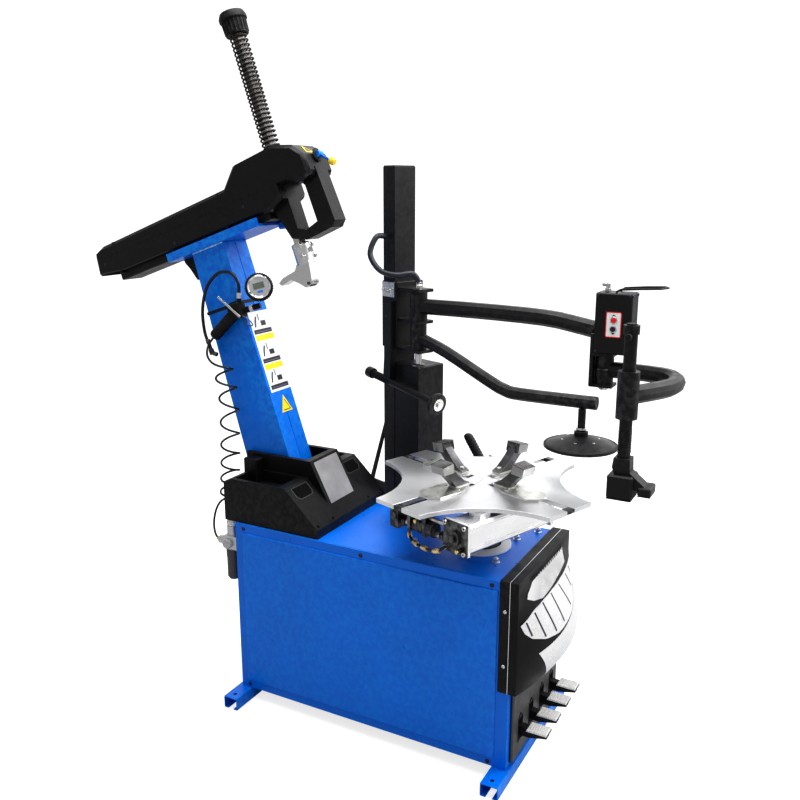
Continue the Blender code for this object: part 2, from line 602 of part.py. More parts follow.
def tool_shaft():
    at = col(SHAFT_FWD, 0.0)
    node("tool_shaft", STEEL, COLUMN, cylinder(at + UP * 0.560, UP, 0.712, SHAFT_R, 6))
    rib = [(0.0, 1.310), (0.036, 1.310), (0.042, 1.298), (0.042, 1.288), (0.036, 1.284), (0.034, 1.245),
           (0.0208, 1.245), (0.0208, 1.2725), (0.0, 1.2725)]
    node("shaft_cap", PLASTIC, COLUMN, turned(rib, at, steps=20))
    ring = [(0.0270, 1.2445), (0.0270, 0.8965), (0.0215, 0.8965), (0.0215, 1.2445)]
    node("shaft_spring", STEEL, COLUMN, turned(ring, at, steps=16))
    duck = [(0.212, 0.556), (0.200, 0.540), (0.150, 0.532), (0.130, 0.521), (0.138, 0.511), (0.176, 0.519),
            (0.200, 0.502), (0.222, 0.482), (0.246, 0.486), (0.252, 0.512), (0.258, 0.556)]
    node("mount_head", CHROME, COLUMN,
         cylinder(at + UP * 0.5503, UP, 0.050, 0.028, 20),
         "+", prism([(-f, u) for f, u in duck], -0.019, 0.019),
         "+", box((-0.007, -SHAFT_FWD - 0.042, 0.580), (0.007, -SHAFT_FWD - 0.02, 0.594)),
         "-", cylinder(at + UP * 0.5597, UP, 0.06, SHAFT_R + GAP, 6))


def inflator():
    node("inflator_gun", BLACK, COLUMN,
         box((-0.096, -0.015, 0.455), (-0.0565, 0.035, 0.505), 0.006),
         "+", between((-0.080, 0.000, 0.482), (-0.080, 0.122, 0.428), 0.017, 16),
         "+", between((-0.070, -0.010, 0.474), (-0.050, -0.062, 0.474), 0.009, 12),
         "+", between((-0.080, -0.008, 0.495), (-0.0825, -0.020, 0.5215), 0.007, 12))
    top, bottom, half = Vector((0.047, 0.537)), Vector((-0.013, 0.457)), 0.0035
    side = (bottom - top).orthogonal().normalized() * half
    lever = [top + side, top - side, bottom - side, bottom + side]
    node("inflator_trigger", ALLOY, COLUMN, prism([tuple(p) for p in lever], -0.1020, -0.0980))
    face = Vector((-0.80, -0.60, 0.0)).normalized()
    boot = [(0.0, 0.034), (0.036, 0.034), (0.0425, 0.028), (0.0425, 0.006), (0.036, 0.0), (0.0, 0.0)]
    node("inflator_gauge", RUBBER, COLUMN, turned(boot, (-0.030, -0.062, 0.528), face, 24))


# ---------------------------------------------------------------- helper (assist) column and arms
def assist_column():
    rod = ARM_PIVOT
    node("assist_lower_box", BLACK, ASSIST,
         box((0, 0, 0.430), (ASSIST_BOX, ASSIST_BOX, 1.045), 0.003),
         "-", box((SHEET, SHEET, 0.42), (ASSIST_BOX - SHEET, ASSIST_BOX - SHEET, 1.045 - SHEET)),
         "-", cylinder((rod.x, rod.y, 1.0), UP, 0.1, PIN_R + 0.0015, 16),
         "+", placed(box((CAB_X + GAP, 0.290, 0.430), (CAB_X + 0.009, 0.540, 0.590), 0.002), MACHINE),
         "+", placed(box((CAB_X + 0.005, 0.345, 0.440), (0.262, 0.420, 0.560)), MACHINE))
    wall = ASSIST_BOX + GAP
    brace = [(wall + 0.050, 0.860), (wall + 0.145, 0.600), (wall + 0.145, 0.560), (wall + 0.050, 0.560)]
    opening = [(wall + 0.062, 0.795), (wall + 0.126, 0.608), (wall + 0.062, 0.608)]
    node("assist_post", BLACK, ASSIST,
         box((0, wall, 0.430), (0.090, wall + 0.057, 1.672), 0.002),
         "-", box((SHEET, wall + SHEET, 0.42), (0.090 - SHEET, wall + 0.057 - SHEET, 1.672 - SHEET)),
         "+", prism(brace, 0.006, 0.014),
         "-", prism(opening, -0.01, 0.03))


def carriage():
    x, y = ARM_PIVOT.x, ARM_PIVOT.y
    post = ASSIST_BOX + GAP
    low, high = 1.095, 1.312
    steps = ["-", box((-SLIDE, post - SLIDE, low - 0.02), (0.090 + SLIDE, post + 0.08, high + 0.02))]
    for z in (1.0900, 1.1850, 1.2850):
        steps += ["+", box((-0.006, -0.010, z), (0.056, 0.095, z + 0.010))]
    steps += ["+", cylinder((x, y, 0.560), UP, 0.735, PIN_R, 16)]
    bracket = [(0.100, 1.250), (0.100, 1.100), (0.105, 0.985), (0.130, 0.975), (0.140, 0.995), (0.120, 1.240)]
    start, end = Vector((-0.026, 0.200, 0.9990)), Vector((-0.026, -0.110, 0.9515))
    along = (end - start).normalized()
    steps += ["+", prism(bracket, -0.030, -0.010),
              "+", between(start, end, 0.0110, 14),
              "+", between(start - along * 0.020, start + along * 0.006, 0.018, 14),
              "+", between(end - along * 0.014, end, 0.017, 14),
              "+", between(end - along * 0.004, end + along * 0.022, 0.0070, 12)]
    node("assist_carriage", BLACK, ASSIST, box((-0.012, 0.090, low), (0.102, 0.165, high), 0.002), *steps)
    ring = [(0.035, 0.014), (0.035, 0.002), (0.029, 0.0003), (0.0076, 0.0003), (0.0076, 0.014)]
    node("bead_roller", BLACK, ASSIST, turned(ring, end, along, 24))


def assist_arms():
    """Barrels turn on the carriage's pin; the arms are bent tubes."""
    turn = Matrix.Rotation(ASSIST_TURN, 3, "Z")
    pivot = ASSIST_CORNER + turn @ ARM_PIVOT
    hole = PIN_R + SLIDE
    path = smooth_path([(pivot.x - 0.004, pivot.y - 0.012, 1.240), (0.262, 0.150, 1.2400), (0.253, -0.080, 1.2350),
                        (0.250, -0.190, 1.2200), (0.250, -0.235, 1.2120)], 3)
    z = 1.140
    node("upper_arm", BLACK, MACHINE, tube(path, 0.025, 3),
         "+", cylinder((pivot.x, pivot.y, 1.1955), UP, 0.089, 0.028, 24),
         "+", box((0.222, -0.243, 1.050), (0.278, -0.232, 1.205), 0.002),
         "+", box((0.222, -0.300, z), (0.278, -0.235, z + 0.0085)),
         "+", box((0.222, -0.300, 1.050), (0.278, -0.235, 1.0585)),
         "+", cylinder((ELBOW.x, ELBOW.y, 1.040), UP, 0.105, PIN_R, 16),
         "-", cylinder((pivot.x, pivot.y, 1.15), UP, 0.2, hole, 16))
    path = smooth_path([(0.250, -0.285, 1.100), (0.246, -0.380, 1.100), (0.215, -0.455, 1.102), (0.150, -0.492, 1.104),
                        (0.060, -0.490, 1.106), (-0.030, -0.452, 1.108), (-0.072, -0.426, 1.108)], 3)
    node("curved_arm", BLACK, MACHINE, tube(path, 0.0235, 3),
         "+", cylinder((ELBOW.x, ELBOW.y, 1.0590), UP, 0.0805, 0.026, 24),
         "+", cylinder((PRESS.x, PRESS.y, 1.050), UP, 0.120, 0.027, 24),
         "-", cylinder((PRESS.x, PRESS.y, 1.0), UP, 0.25, 0.0160 + SLIDE, 20),
         "-", cylinder((ELBOW.x, ELBOW.y, 1.0), UP, 0.2, hole, 16))
    path = smooth_path([(pivot.x - 0.006, pivot.y - 0.014, 1.136), (0.245, 0.230, 1.105), (0.192, 0.070, 1.045),
                        (0.165, 0.000, 1.025), (0.156, -0.060, 1.020), (0.153, -0.281, 1.020)], 3)
    node("lower_arm", BLACK, MACHINE, tube(path, 0.019, 3),
         "+", cylinder((pivot.x, pivot.y, 1.1005), UP, 0.084, 0.026, 24),
         "+", cylinder((DISC.x, DISC.y, 0.966), UP, 0.05, 0.006, 12),
         "-", cylinder((pivot.x, pivot.y, 1.05), UP, 0.2, hole, 16))
    disc = [(0.0110, 0.9995), (0.0110, 0.938), (0.020, 0.934), (0.020, 0.922), (0.105, 0.896), (0.105, 0.890),
            (0.0066, 0.890), (0.0066, 0.9995)]
    node("helper_disc", BLACK, MACHINE, turned(disc, (DISC.x, DISC.y, 0), steps=32))


def control_box():
    low, high, half = 1.1495, 1.322, 0.035
    x = ELBOW.x
    bores = []
    spots = (("button_lift", RED, -0.298, 1.247), ("button_press", BLACK, -0.297, 1.222))
    for _, _, y, z in spots:
        bores += ["-", cylinder((x - half - 0.01, y, z), (1, 0, 0), 0.023, 0.0076, 16)]
    guard = smooth_path([(x - 0.025, -0.300, 1.3190), (x - 0.025, -0.310, 1.332), (x - 0.025, -0.420, 1.340),
                         (x + 0.025, -0.420, 1.340), (x + 0.025, -0.310, 1.332), (x + 0.025, -0.300, 1.3190)], 2)
    node("control_box", BLACK, MACHINE,
         box((x - half, -0.347, low), (x + half, -0.2435, high), 0.003),
         *bores, "+", tube(guard, 0.003, 2))
    for name, colour, y, z in spots:
        node(name, colour, MACHINE, cylinder((x - half - 0.005, y, z), (1, 0, 0), 0.012, 0.0070, 16))


def press():
    x, y = PRESS.x, PRESS.y
    node("press_screw", BLACK, MACHINE, cylinder((x, y, 0.9503), UP, 0.3197, 0.0160, 20),
         "+", cylinder((x - 0.026, y, 1.252), (1, 0, 0), 0.052, 0.006, 12),
         "+", cylinder((x, y, 1.262), UP, 0.022, 0.020, 16))
    neck = [(y - 0.020, 0.955), (y + 0.020, 0.955), (y + 0.024, 0.925), (y + 0.010, 0.890), (y - 0.050, 0.868),
            (y - 0.066, 0.880), (y - 0.022, 0.915)]
    block = box((x - 0.034, y - 0.032, 0.846), (x + 0.034, y + 0.032, 0.908), 0.004)
    node("press_head", BLACK, MACHINE, prism(neck, x - 0.020, x + 0.020),
         "+", block,
         "+", box((x - 0.030, y - 0.078, 0.862), (x + 0.030, y - 0.045, 0.884), 0.003),
         "-", cylinder((x, y, 0.95), UP, 0.05, 0.0163, 20),
         "-", box((x - 0.05, y - 0.05, 0.9500), (x + 0.05, y + 0.05, 0.97)))


# ---------------------------------------------------------------- bead breaker on the right side
def bead_breaker():
    x, y = BREAKER_HINGE.x, BREAKER_HINGE.y
    handle = smooth_path([(x, 0.020, 0.328), (x + 0.010, 0.010, 0.420), (x + 0.035, 0.040, 0.560),
                          (x + 0.070, 0.105, 0.700), (x + 0.090, 0.187, 0.810)], 3)
    tip = -0.025
    node("breaker_arm", BLUE, MACHINE,
         box((x - 0.020, 0.000, 0.250), (x + 0.020, y, 0.330), 0.003),
         "-", box((x - 0.04, 0.300, 0.264), (x + 0.04, 0.440, 0.316)),
         "-", box((x - 0.016, 0.040, 0.240), (x + 0.016, y - 0.040, 0.326)),
         "+", cylinder((x, y, 0.2455), UP, 0.089, 0.026, 24),
         "+", box((x - 0.014, tip - 0.014, 0.250), (x + 0.014, 0.004, 0.258)),
         "+", box((x - 0.014, tip - 0.014, 0.322), (x + 0.014, 0.004, 0.330)),
         "+", cylinder((x, tip, 0.252), UP, 0.076, 0.0075, 16),
         "+", tube(handle, 0.0105, 2),
         "-", cylinder((x, y, 0.2), UP, 0.2, PIN_R + SLIDE, 16))
    edge = [(-0.175, 0.225), (-0.175, 0.375), (-0.150, 0.400), (-0.060, 0.400), (-0.0435, 0.375), (-0.0435, 0.225),
            (-0.060, 0.200), (-0.150, 0.200)]
    node("breaker_blade", BLACK, MACHINE, prism(edge, x - 0.004, x + 0.004),
         "+", box((x - 0.006, -0.070, 0.262), (x + 0.006, tip - 0.008, 0.318)),
         "+", cylinder((x, tip, 0.2585), UP, 0.063, 0.014, 20),
         "-", cylinder((x, tip, 0.25), UP, 0.08, 0.0075 + SLIDE, 16))
    node("breaker_rod", CHROME, MACHINE, cylinder((-0.150, ROD_Y, ROD_Z), (1, 0, 0), 0.445, 0.0125, 16),
         "+", cylinder((-0.158, ROD_Y, ROD_Z), (1, 0, 0), 0.020, 0.0840, 24),
         "+", cylinder((x + 0.023, ROD_Y, ROD_Z), (1, 0, 0), 0.022, 0.024, 6))
    node("breaker_pad", RUBBER, MACHINE,
         box((CAB_X + GAP, -0.060, 0.170), (CAB_X + 0.013, 0.130, 0.430), 0.004),
         *[s for i in range(5) for s in
           ("+", box((CAB_X + 0.010, -0.050 + 0.037 * i, 0.180), (CAB_X + 0.0165, -0.032 + 0.037 * i, 0.420)))])


# ---------------------------------------------------------------- hoses
def cord(name, frame_of, points, radius, per_span, resolution=2):
    curve = tube_curve(smooth_path(points, per_span), radius, resolution)
    obj = bpy.data.objects.new(name, curve)
    curve.materials.append(RUBBER)
    obj.parent = frame_of
    PARTS.objects.link(obj)


def hoses():
    cord("coil_hose", MACHINE, [(-0.112, 0.842, 1.110), (-0.106, 0.818, 0.980), (-0.104, 0.820, 0.820),
                                (-0.108, 0.824, 0.700), (-0.118, 0.826, 0.600)], COIL_R, 3, 3)
    cord("whip_hose", COLUMN, [(-0.0826, -0.0208, 0.5225), (-0.083, -0.030, 0.555), (-0.083, -0.018, 0.590),
                               (-0.083, 0.030, 0.606), (-0.083, 0.090, 0.580), (-0.083, 0.135, 0.520),
                               (-0.083, 0.155, 0.450), (-0.083, 0.152, 0.400)], 0.0050, 3)
    cord("assist_hose", ASSIST, [(-0.0095, 0.150, 1.455), (-0.045, 0.152, 1.452), (-0.072, 0.150, 1.400),
                                 (-0.066, 0.110, 1.352), (-0.040, 0.062, 1.338), (0.000, 0.030, 1.342),
                                 (0.018, 0.021, 1.320), (0.020, 0.020, 1.2958)], 0.0090, 4)


cabinet()
foot("foot_front", -0.190, -0.136)
foot("foot_rear", 0.692, 0.744)
bulged_cover()
pedal_plate()
pedals()
tray_cover()
hinge_bracket()
drive()
cylinders()
air_regulator()
turntable()
jaws()
column()
reach_arm()
tool_shaft()
inflator()
assist_column()
carriage()
assist_arms()
control_box()
press()
bead_breaker()
hoses()
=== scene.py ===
"""Looks of the tyre changer: materials, small parts, hoses, light and camera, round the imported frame.

Lengths are metres. The machine's own frame has its origin on the floor under the turntable's axis: the
operator stands at -Y and +X is the operator's right. COLUMN is the frame of the tilting column (-Y forward,
+Z up along it) and ASSIST that of the helper column.
"""
import math

import bmesh
import bpy
from mathutils import Matrix, Vector

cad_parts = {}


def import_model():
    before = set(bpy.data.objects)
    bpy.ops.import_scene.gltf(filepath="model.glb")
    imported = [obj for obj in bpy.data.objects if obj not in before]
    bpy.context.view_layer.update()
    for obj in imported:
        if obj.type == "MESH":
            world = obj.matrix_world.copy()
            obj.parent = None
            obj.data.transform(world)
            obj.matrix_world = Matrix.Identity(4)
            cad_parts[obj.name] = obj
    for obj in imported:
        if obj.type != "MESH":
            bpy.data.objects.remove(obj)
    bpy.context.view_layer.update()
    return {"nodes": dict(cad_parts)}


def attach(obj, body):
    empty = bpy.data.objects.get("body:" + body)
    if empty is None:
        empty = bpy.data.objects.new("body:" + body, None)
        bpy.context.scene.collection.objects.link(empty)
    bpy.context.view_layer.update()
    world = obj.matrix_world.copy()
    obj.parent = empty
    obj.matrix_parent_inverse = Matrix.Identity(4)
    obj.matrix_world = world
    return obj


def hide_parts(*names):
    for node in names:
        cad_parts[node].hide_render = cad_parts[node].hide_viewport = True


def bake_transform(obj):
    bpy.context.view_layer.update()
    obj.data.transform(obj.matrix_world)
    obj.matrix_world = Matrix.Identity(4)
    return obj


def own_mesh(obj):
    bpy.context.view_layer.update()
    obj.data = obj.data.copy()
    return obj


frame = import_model()
NODES = frame["nodes"]

UP = Vector((0, 0, 1))
MACHINE = Matrix.Translation((-0.0364, -0.4402, 0.0))
TILT = Matrix.Rotation(math.radians(-18.73), 4, "X")
COLUMN = MACHINE @ Matrix.Translation((0.0, 0.628, 0.787)) @ TILT
ASSIST_CORNER, ASSIST_TURN = Vector((0.249, 0.332, 0.0)), math.radians(-21)
ASSIST = MACHINE @ Matrix.Translation(ASSIST_CORNER) @ Matrix.Rotation(ASSIST_TURN, 4, "Z")
ASSIST_WALL = 0.1155                    # the helper post's front face, in ASSIST
PIVOT = (0.020, 0.020)                  # the helper arms' pin, in ASSIST
SHAFT_Y = -0.235                        # the tool shaft's axis, in COLUMN
CYL_HEADING = math.radians(-20)         # the clamp cylinders' direction
CYL_SIDE = 0.1465                       # from the turntable's axis to a cylinder's
JAWS = ((160, "jaw_a"), (250, "jaw_b"), (340, "jaw_c"), (70, "jaw_d"))
PEDALS = ((-0.130, "pedal_a"), (-0.045, "pedal_b"), (0.045, "pedal_c"), (0.130, "pedal_d"))
COVER_SWELL = 0.085                     # how far the front cover bulges
ELBOW, PRESS, DISC = Vector((0.250, -0.270, 0)), Vector((-0.082, -0.420, 0)), Vector((0.151, -0.240, 0))
BREAKER_HINGE = (0.245, 0.680)
BUTTONS = ((-0.298, 1.247), (-0.297, 1.222))


# ---------------------------------------------------------------- camera
def camera():
    data = bpy.data.cameras.new("camera")
    data.lens, data.sensor_width = 39.33, 36.0
    obj = bpy.data.objects.new("camera", data)
    bpy.context.scene.collection.objects.link(obj)
    heading, dip = math.radians(-61.65), math.radians(13.74)
    look = Vector((-math.sin(heading) * math.cos(dip), math.cos(heading) * math.cos(dip), -math.sin(dip)))
    right = Vector((math.cos(heading), math.sin(heading), 0))
    turn = Matrix((right, right.cross(look), -look)).transposed().to_4x4()
    obj.matrix_world = MACHINE @ Matrix.Translation((-2.196, -0.922, 1.610)) @ turn
    bpy.context.scene.camera = obj


camera()


# ---------------------------------------------------------------- materials
class Graph:
    """A Principled material: colour, roughness and bump from noise in the piece's own coordinates."""

    def __init__(self, name, rough, metal=0.0, specular=0.5, coat=0.0, anisotropic=0.0):
        self.material = bpy.data.materials.new(name)
        self.material.use_nodes = True
        self.nodes = self.material.node_tree.nodes
        self.links = self.material.node_tree.links
        self.shader = self.nodes["Principled BSDF"]
        for socket, value in (("Roughness", rough), ("Metallic", metal), ("Specular IOR Level", specular),
                              ("Coat Weight", coat), ("Coat Roughness", 0.15), ("Anisotropic", anisotropic)):
            self.shader.inputs[socket].default_value = value
        self.place = self.add("ShaderNodeTexCoord").outputs["Object"]

    def add(self, kind, **settings):
        node = self.nodes.new(kind)
        for key, value in settings.items():
            setattr(node, key, value)
        return node

    def scaled(self, factors, vector=None):
        node = self.add("ShaderNodeMapping")
        node.inputs["Scale"].default_value = factors
        self.links.new(vector or self.place, node.inputs["Vector"])
        return node.outputs["Vector"]

    def noise(self, scale, detail=4.0, vector=None):
        node = self.add("ShaderNodeTexNoise")
        node.inputs["Scale"].default_value = scale
        node.inputs["Detail"].default_value = detail
        self.links.new(vector or self.place, node.inputs["Vector"])
        return node.outputs["Fac"]

    def spread(self, value, low, high, start=0.3, stop=0.7):
        node = self.add("ShaderNodeMapRange")
        for socket, number in (("From Min", start), ("From Max", stop), ("To Min", low), ("To Max", high)):
            node.inputs[socket].default_value = number
        self.links.new(value, node.inputs["Value"])
        return node.outputs["Result"]

    def blend(self, factor, a, b):
        node = self.add("ShaderNodeMix", data_type="RGBA")
        for name, value in (("A", a), ("B", b)):
            socket = [s for s in node.inputs if s.name == name and s.type == "RGBA"][0]
            if isinstance(value, tuple):
                socket.default_value = (*value, 1.0)
            else:
                self.links.new(value, socket)
        if factor is not None:
            self.links.new(factor, node.inputs["Factor"])
        return [s for s in node.outputs if s.type == "RGBA"][0]

    def colour(self, value):
        self.links.new(value, self.shader.inputs["Base Color"])

    def roughness(self, value):
        self.links.new(value, self.shader.inputs["Roughness"])

    def bump(self, height, depth):
        node = self.add("ShaderNodeBump")
        node.inputs["Strength"].default_value = 1.0
        node.inputs["Distance"].default_value = depth
        self.links.new(height, node.inputs["Height"])
        self.links.new(node.outputs["Normal"], self.shader.inputs["Normal"])

    def edges(self, low=0.52, high=0.60):
        return self.spread(self.add("ShaderNodeNewGeometry").outputs["Pointiness"], 0.0, 1.0, low, high)


def plain(name, colour, rough, metal=0.0, vary=0.12, grain=500, depth=0.00006, spread=0.10, worn=None,
          blotch=7, stretch=(1, 1, 1), **shader):
    """Most surfaces: a blotchy colour, a fine grain, uneven gloss, and lighter worn edges."""
    g = Graph(name, rough, metal, **shader)
    place = g.scaled(stretch)
    dark = tuple(c * (1 - vary) for c in colour)
    light = tuple(min(1.0, c * (1 + vary)) for c in colour)
    tone = g.blend(g.spread(g.noise(blotch, 6.0, place), 0.0, 1.0), dark, light)
    if worn is not None:
        scuff = g.add("ShaderNodeMath", operation="MULTIPLY")
        g.links.new(g.edges(), scuff.inputs[0])
        g.links.new(g.spread(g.noise(60, 5.0), 0.0, 0.8, 0.42, 0.62), scuff.inputs[1])
        tone = g.blend(scuff.outputs["Value"], tone, worn)
    g.colour(tone)
    g.roughness(g.spread(g.noise(22, 5.0, place), max(0.02, rough - spread), min(1.0, rough + spread)))
    g.bump(g.noise(grain, 2.0, place), depth)
    return g.material


def turned_steel(name, colour, rough, centre, worn):
    """Steel faced on a lathe: fine rings round centre, with stains and worn edges."""
    g = Graph(name, rough, 1.0, anisotropic=0.6)
    shift = g.add("ShaderNodeVectorMath", operation="SUBTRACT")
    g.links.new(g.place, shift.inputs[0])
    shift.inputs[1].default_value = centre
    flat = g.scaled((1, 1, 0), shift.outputs["Vector"])
    length = g.add("ShaderNodeVectorMath", operation="LENGTH")
    g.links.new(flat, length.inputs[0])
    rings = g.add("ShaderNodeCombineXYZ")
    g.links.new(length.outputs["Value"], rings.inputs["X"])
    lines = g.noise(420, 6.0, rings.outputs["Vector"])
    stain = g.noise(9, 6.0)
    tone = g.blend(g.spread(stain, 0.0, 1.0), tuple(c * 0.80 for c in colour), colour)
    tone = g.blend(g.spread(lines, 0.0, 0.35, 0.45, 0.75), tone, tuple(c * 0.62 for c in colour))
    tone = g.blend(g.edges(0.53, 0.6), tone, worn)
    g.colour(tone)
    g.roughness(g.spread(lines, rough - 0.08, rough + 0.14))
    g.bump(lines, 0.00004)
    tangent = g.add("ShaderNodeTangent", direction_type="RADIAL", axis="Z")
    g.links.new(tangent.outputs["Tangent"], g.shader.inputs["Tangent"])
    return g.material


def layered(name, lower, upper, level, fade=0.004, rough=0.35, metal=1.0, grain=300, depth=0.00005):
    """One colour under a height along +Z and another above it, for a piece with two finishes."""
    g = Graph(name, rough, metal)
    split = g.add("ShaderNodeSeparateXYZ")
    g.links.new(g.place, split.inputs["Vector"])
    mask = g.spread(split.outputs["Z"], 0.0, 1.0, level, level + fade)
    mottle = g.spread(g.noise(40, 6.0), 0.0, 1.0)
    low = g.blend(mottle, tuple(c * 0.78 for c in lower), lower)
    high = g.blend(mottle, tuple(c * 0.6 for c in upper), upper)
    tone = g.blend(mask, low, high)
    g.colour(g.blend(g.edges(), tone, (0.62, 0.61, 0.60)))
    g.roughness(g.spread(g.noise(30, 4.0), rough - 0.1, rough + 0.12))
    g.bump(g.noise(grain, 3.0), depth)
    return g.material


CENTRE = tuple(MACHINE @ Vector((0, 0, 0)))
BLUE = plain("painted_blue", (0.0004, 0.150, 0.70), 0.32, vary=0.05, grain=420, depth=0.00004, spread=0.05,
             worn=(0.01, 0.36, 0.90), coat=0.0, specular=0.26)
POWDER = plain("powder_black", (0.0085, 0.0085, 0.0095), 0.42, vary=0.25, grain=330, depth=0.00012,
               worn=(0.04, 0.04, 0.044),
               specular=0.24)
MOULD = plain("moulded_black", (0.0055, 0.0055, 0.0065), 0.46, vary=0.20, grain=900, depth=0.00008, blotch=4,
              worn=(0.03, 0.03, 0.032), specular=0.20)
COVER = plain("moulded_charcoal", (0.0060, 0.0060, 0.0072), 0.34, vary=0.15, grain=700, depth=0.00006,
              blotch=4,
              worn=(0.04, 0.04, 0.04), specular=0.26)
PEDAL_COVER = plain("moulded_grey", (0.055, 0.054, 0.056), 0.5, vary=0.18, grain=800, depth=0.00012)
PLATE = turned_steel("turned_steel", (0.86, 0.865, 0.88), 0.34, CENTRE, (0.80, 0.80, 0.81))
JAW = layered("jaw_steel", (0.80, 0.81, 0.77), (0.15, 0.15, 0.155), 0.8025, rough=0.34)
SHAFT = layered("shaft_steel", (0.60, 0.54, 0.525), (0.022, 0.021, 0.021), 1.52, fade=0.02, rough=0.36)
ALLOY = plain("extruded_aluminium", (0.88, 0.88, 0.89), 0.34, 1.0, vary=0.05, grain=420, depth=0.00005,
              stretch=(0.05, 1, 1), worn=(1, 1, 1))
CAST = plain("cast_aluminium", (0.60, 0.60, 0.61), 0.45, 1.0, vary=0.12, grain=260, depth=0.0002,
             worn=(0.85, 0.85, 0.86))
CHROME = plain("chrome", (0.72, 0.71, 0.71), 0.13, 1.0, vary=0.06, grain=120, depth=0.00005, spread=0.05)
ZINC = plain("zinc", (0.62, 0.62, 0.60), 0.32, 1.0, vary=0.15, grain=300, depth=0.00006,
             worn=(0.9, 0.9, 0.88))
BRASS = plain("brass", (0.72, 0.52, 0.22), 0.28, 1.0, vary=0.15, grain=300, depth=0.00005,
              worn=(0.95, 0.80, 0.50))
SPRING = plain("spring_steel", (0.045, 0.042, 0.040), 0.42, 1.0, vary=0.25, grain=500, depth=0.00006)
DARK_STEEL = plain("blackened_steel", (0.060, 0.060, 0.064), 0.40, 1.0, vary=0.25, grain=350, depth=0.0001,
                   worn=(0.3, 0.3, 0.3))
IRON = plain("cast_iron", (0.085, 0.086, 0.09), 0.58, 0.5, vary=0.2, grain=160, depth=0.0005,
             worn=(0.25, 0.25, 0.25))
RUBBER = plain("black_rubber", (0.010, 0.010, 0.010), 0.62, vary=0.2, grain=700, depth=0.00012, specular=0.3)
HOSE = plain("hose_black", (0.009, 0.009, 0.010), 0.35, vary=0.15, grain=500, depth=0.00005, specular=0.4)
ARM_HOSE = plain("hose_blue_grey", (0.020, 0.024, 0.034), 0.38, vary=0.15, grain=500, depth=0.00005,
                 specular=0.4)
SILVER = plain("silver_panel", (0.80, 0.80, 0.81), 0.20, 0.75, vary=0.05, grain=900, depth=0.00003, coat=0.3)
STIPPLE = plain("stippled_silver", (0.78, 0.78, 0.79), 0.36, 0.5, vary=0.10, grain=1500, depth=0.00022,
                blotch=160)
WHITE = plain("white_label", (0.90, 0.90, 0.90), 0.35, vary=0.03, grain=900, depth=0.00002)
GREY = plain("grey_label", (0.16, 0.16, 0.20), 0.4, vary=0.1, grain=900, depth=0.00002)
INK = plain("dark_label", (0.012, 0.010, 0.030), 0.4, vary=0.1, grain=900, depth=0.00002)
YELLOW = plain("yellow_label", (0.95, 0.72, 0.0), 0.35, vary=0.05, grain=900, depth=0.00002)
YELLOW_KNOB = plain("yellow_plastic", (0.95, 0.68, 0.0), 0.28, vary=0.06, grain=600, depth=0.00004)
RED = plain("red_plastic", (0.85, 0.005, 0.010), 0.28, vary=0.06, grain=600, depth=0.00004)
BUTTON = plain("black_button", (0.010, 0.010, 0.022), 0.28, vary=0.06, grain=600, depth=0.00004)
PAINT_WHITE = plain("white_paint", (0.72, 0.72, 0.72), 0.4, vary=0.06, grain=300, depth=0.0001,
                    worn=(0.9, 0.9, 0.9))
SCREEN = plain("gauge_face", (0.42, 0.43, 0.44), 0.18, vary=0.12, grain=900, depth=0.00001, blotch=30,
               coat=0.6)
LCD = plain("gauge_screen", (0.13, 0.15, 0.12), 0.12, vary=0.2, grain=900, depth=0.00001, blotch=60, coat=0.6)
PEDAL_PAD = plain("pedal_rubber", (0.62, 0.615, 0.60), 0.5, vary=0.15, grain=500, depth=0.0001,
                  worn=(0.5, 0.5, 0.5))
# Near-black and matt, darker than the tray's own plastic, for recesses and holes that are drawn flat: painted
# shade.
PAINTED_HOLE_SHADE = plain("painted_hole_shade", (0.002, 0.002, 0.002), 0.8, vary=0.1, specular=0.1)
# Light grey on the hump's black slope, standing in for the glare of the bright lamps: painted highlight.
PAINTED_GLARE = plain("hump_painted_glare", (0.270, 0.263, 0.263), 0.42, vary=0.2, grain=900, depth=0.0002, specular=0.6,
             blotch=14)
# The beads are under the cabinet's blue paint; their light cyan, and the near-white crests given as worn, are
# painted highlight.
WELD = plain("weld_bead_painted_highlight", (0.25, 0.62, 0.95), 0.35, 0.2, vary=0.25, grain=300, depth=0.0002,
             worn=(0.9, 0.95, 1.0))
BLUE_KEY = plain("blue_key", (0.01, 0.20, 0.75), 0.3, vary=0.05)


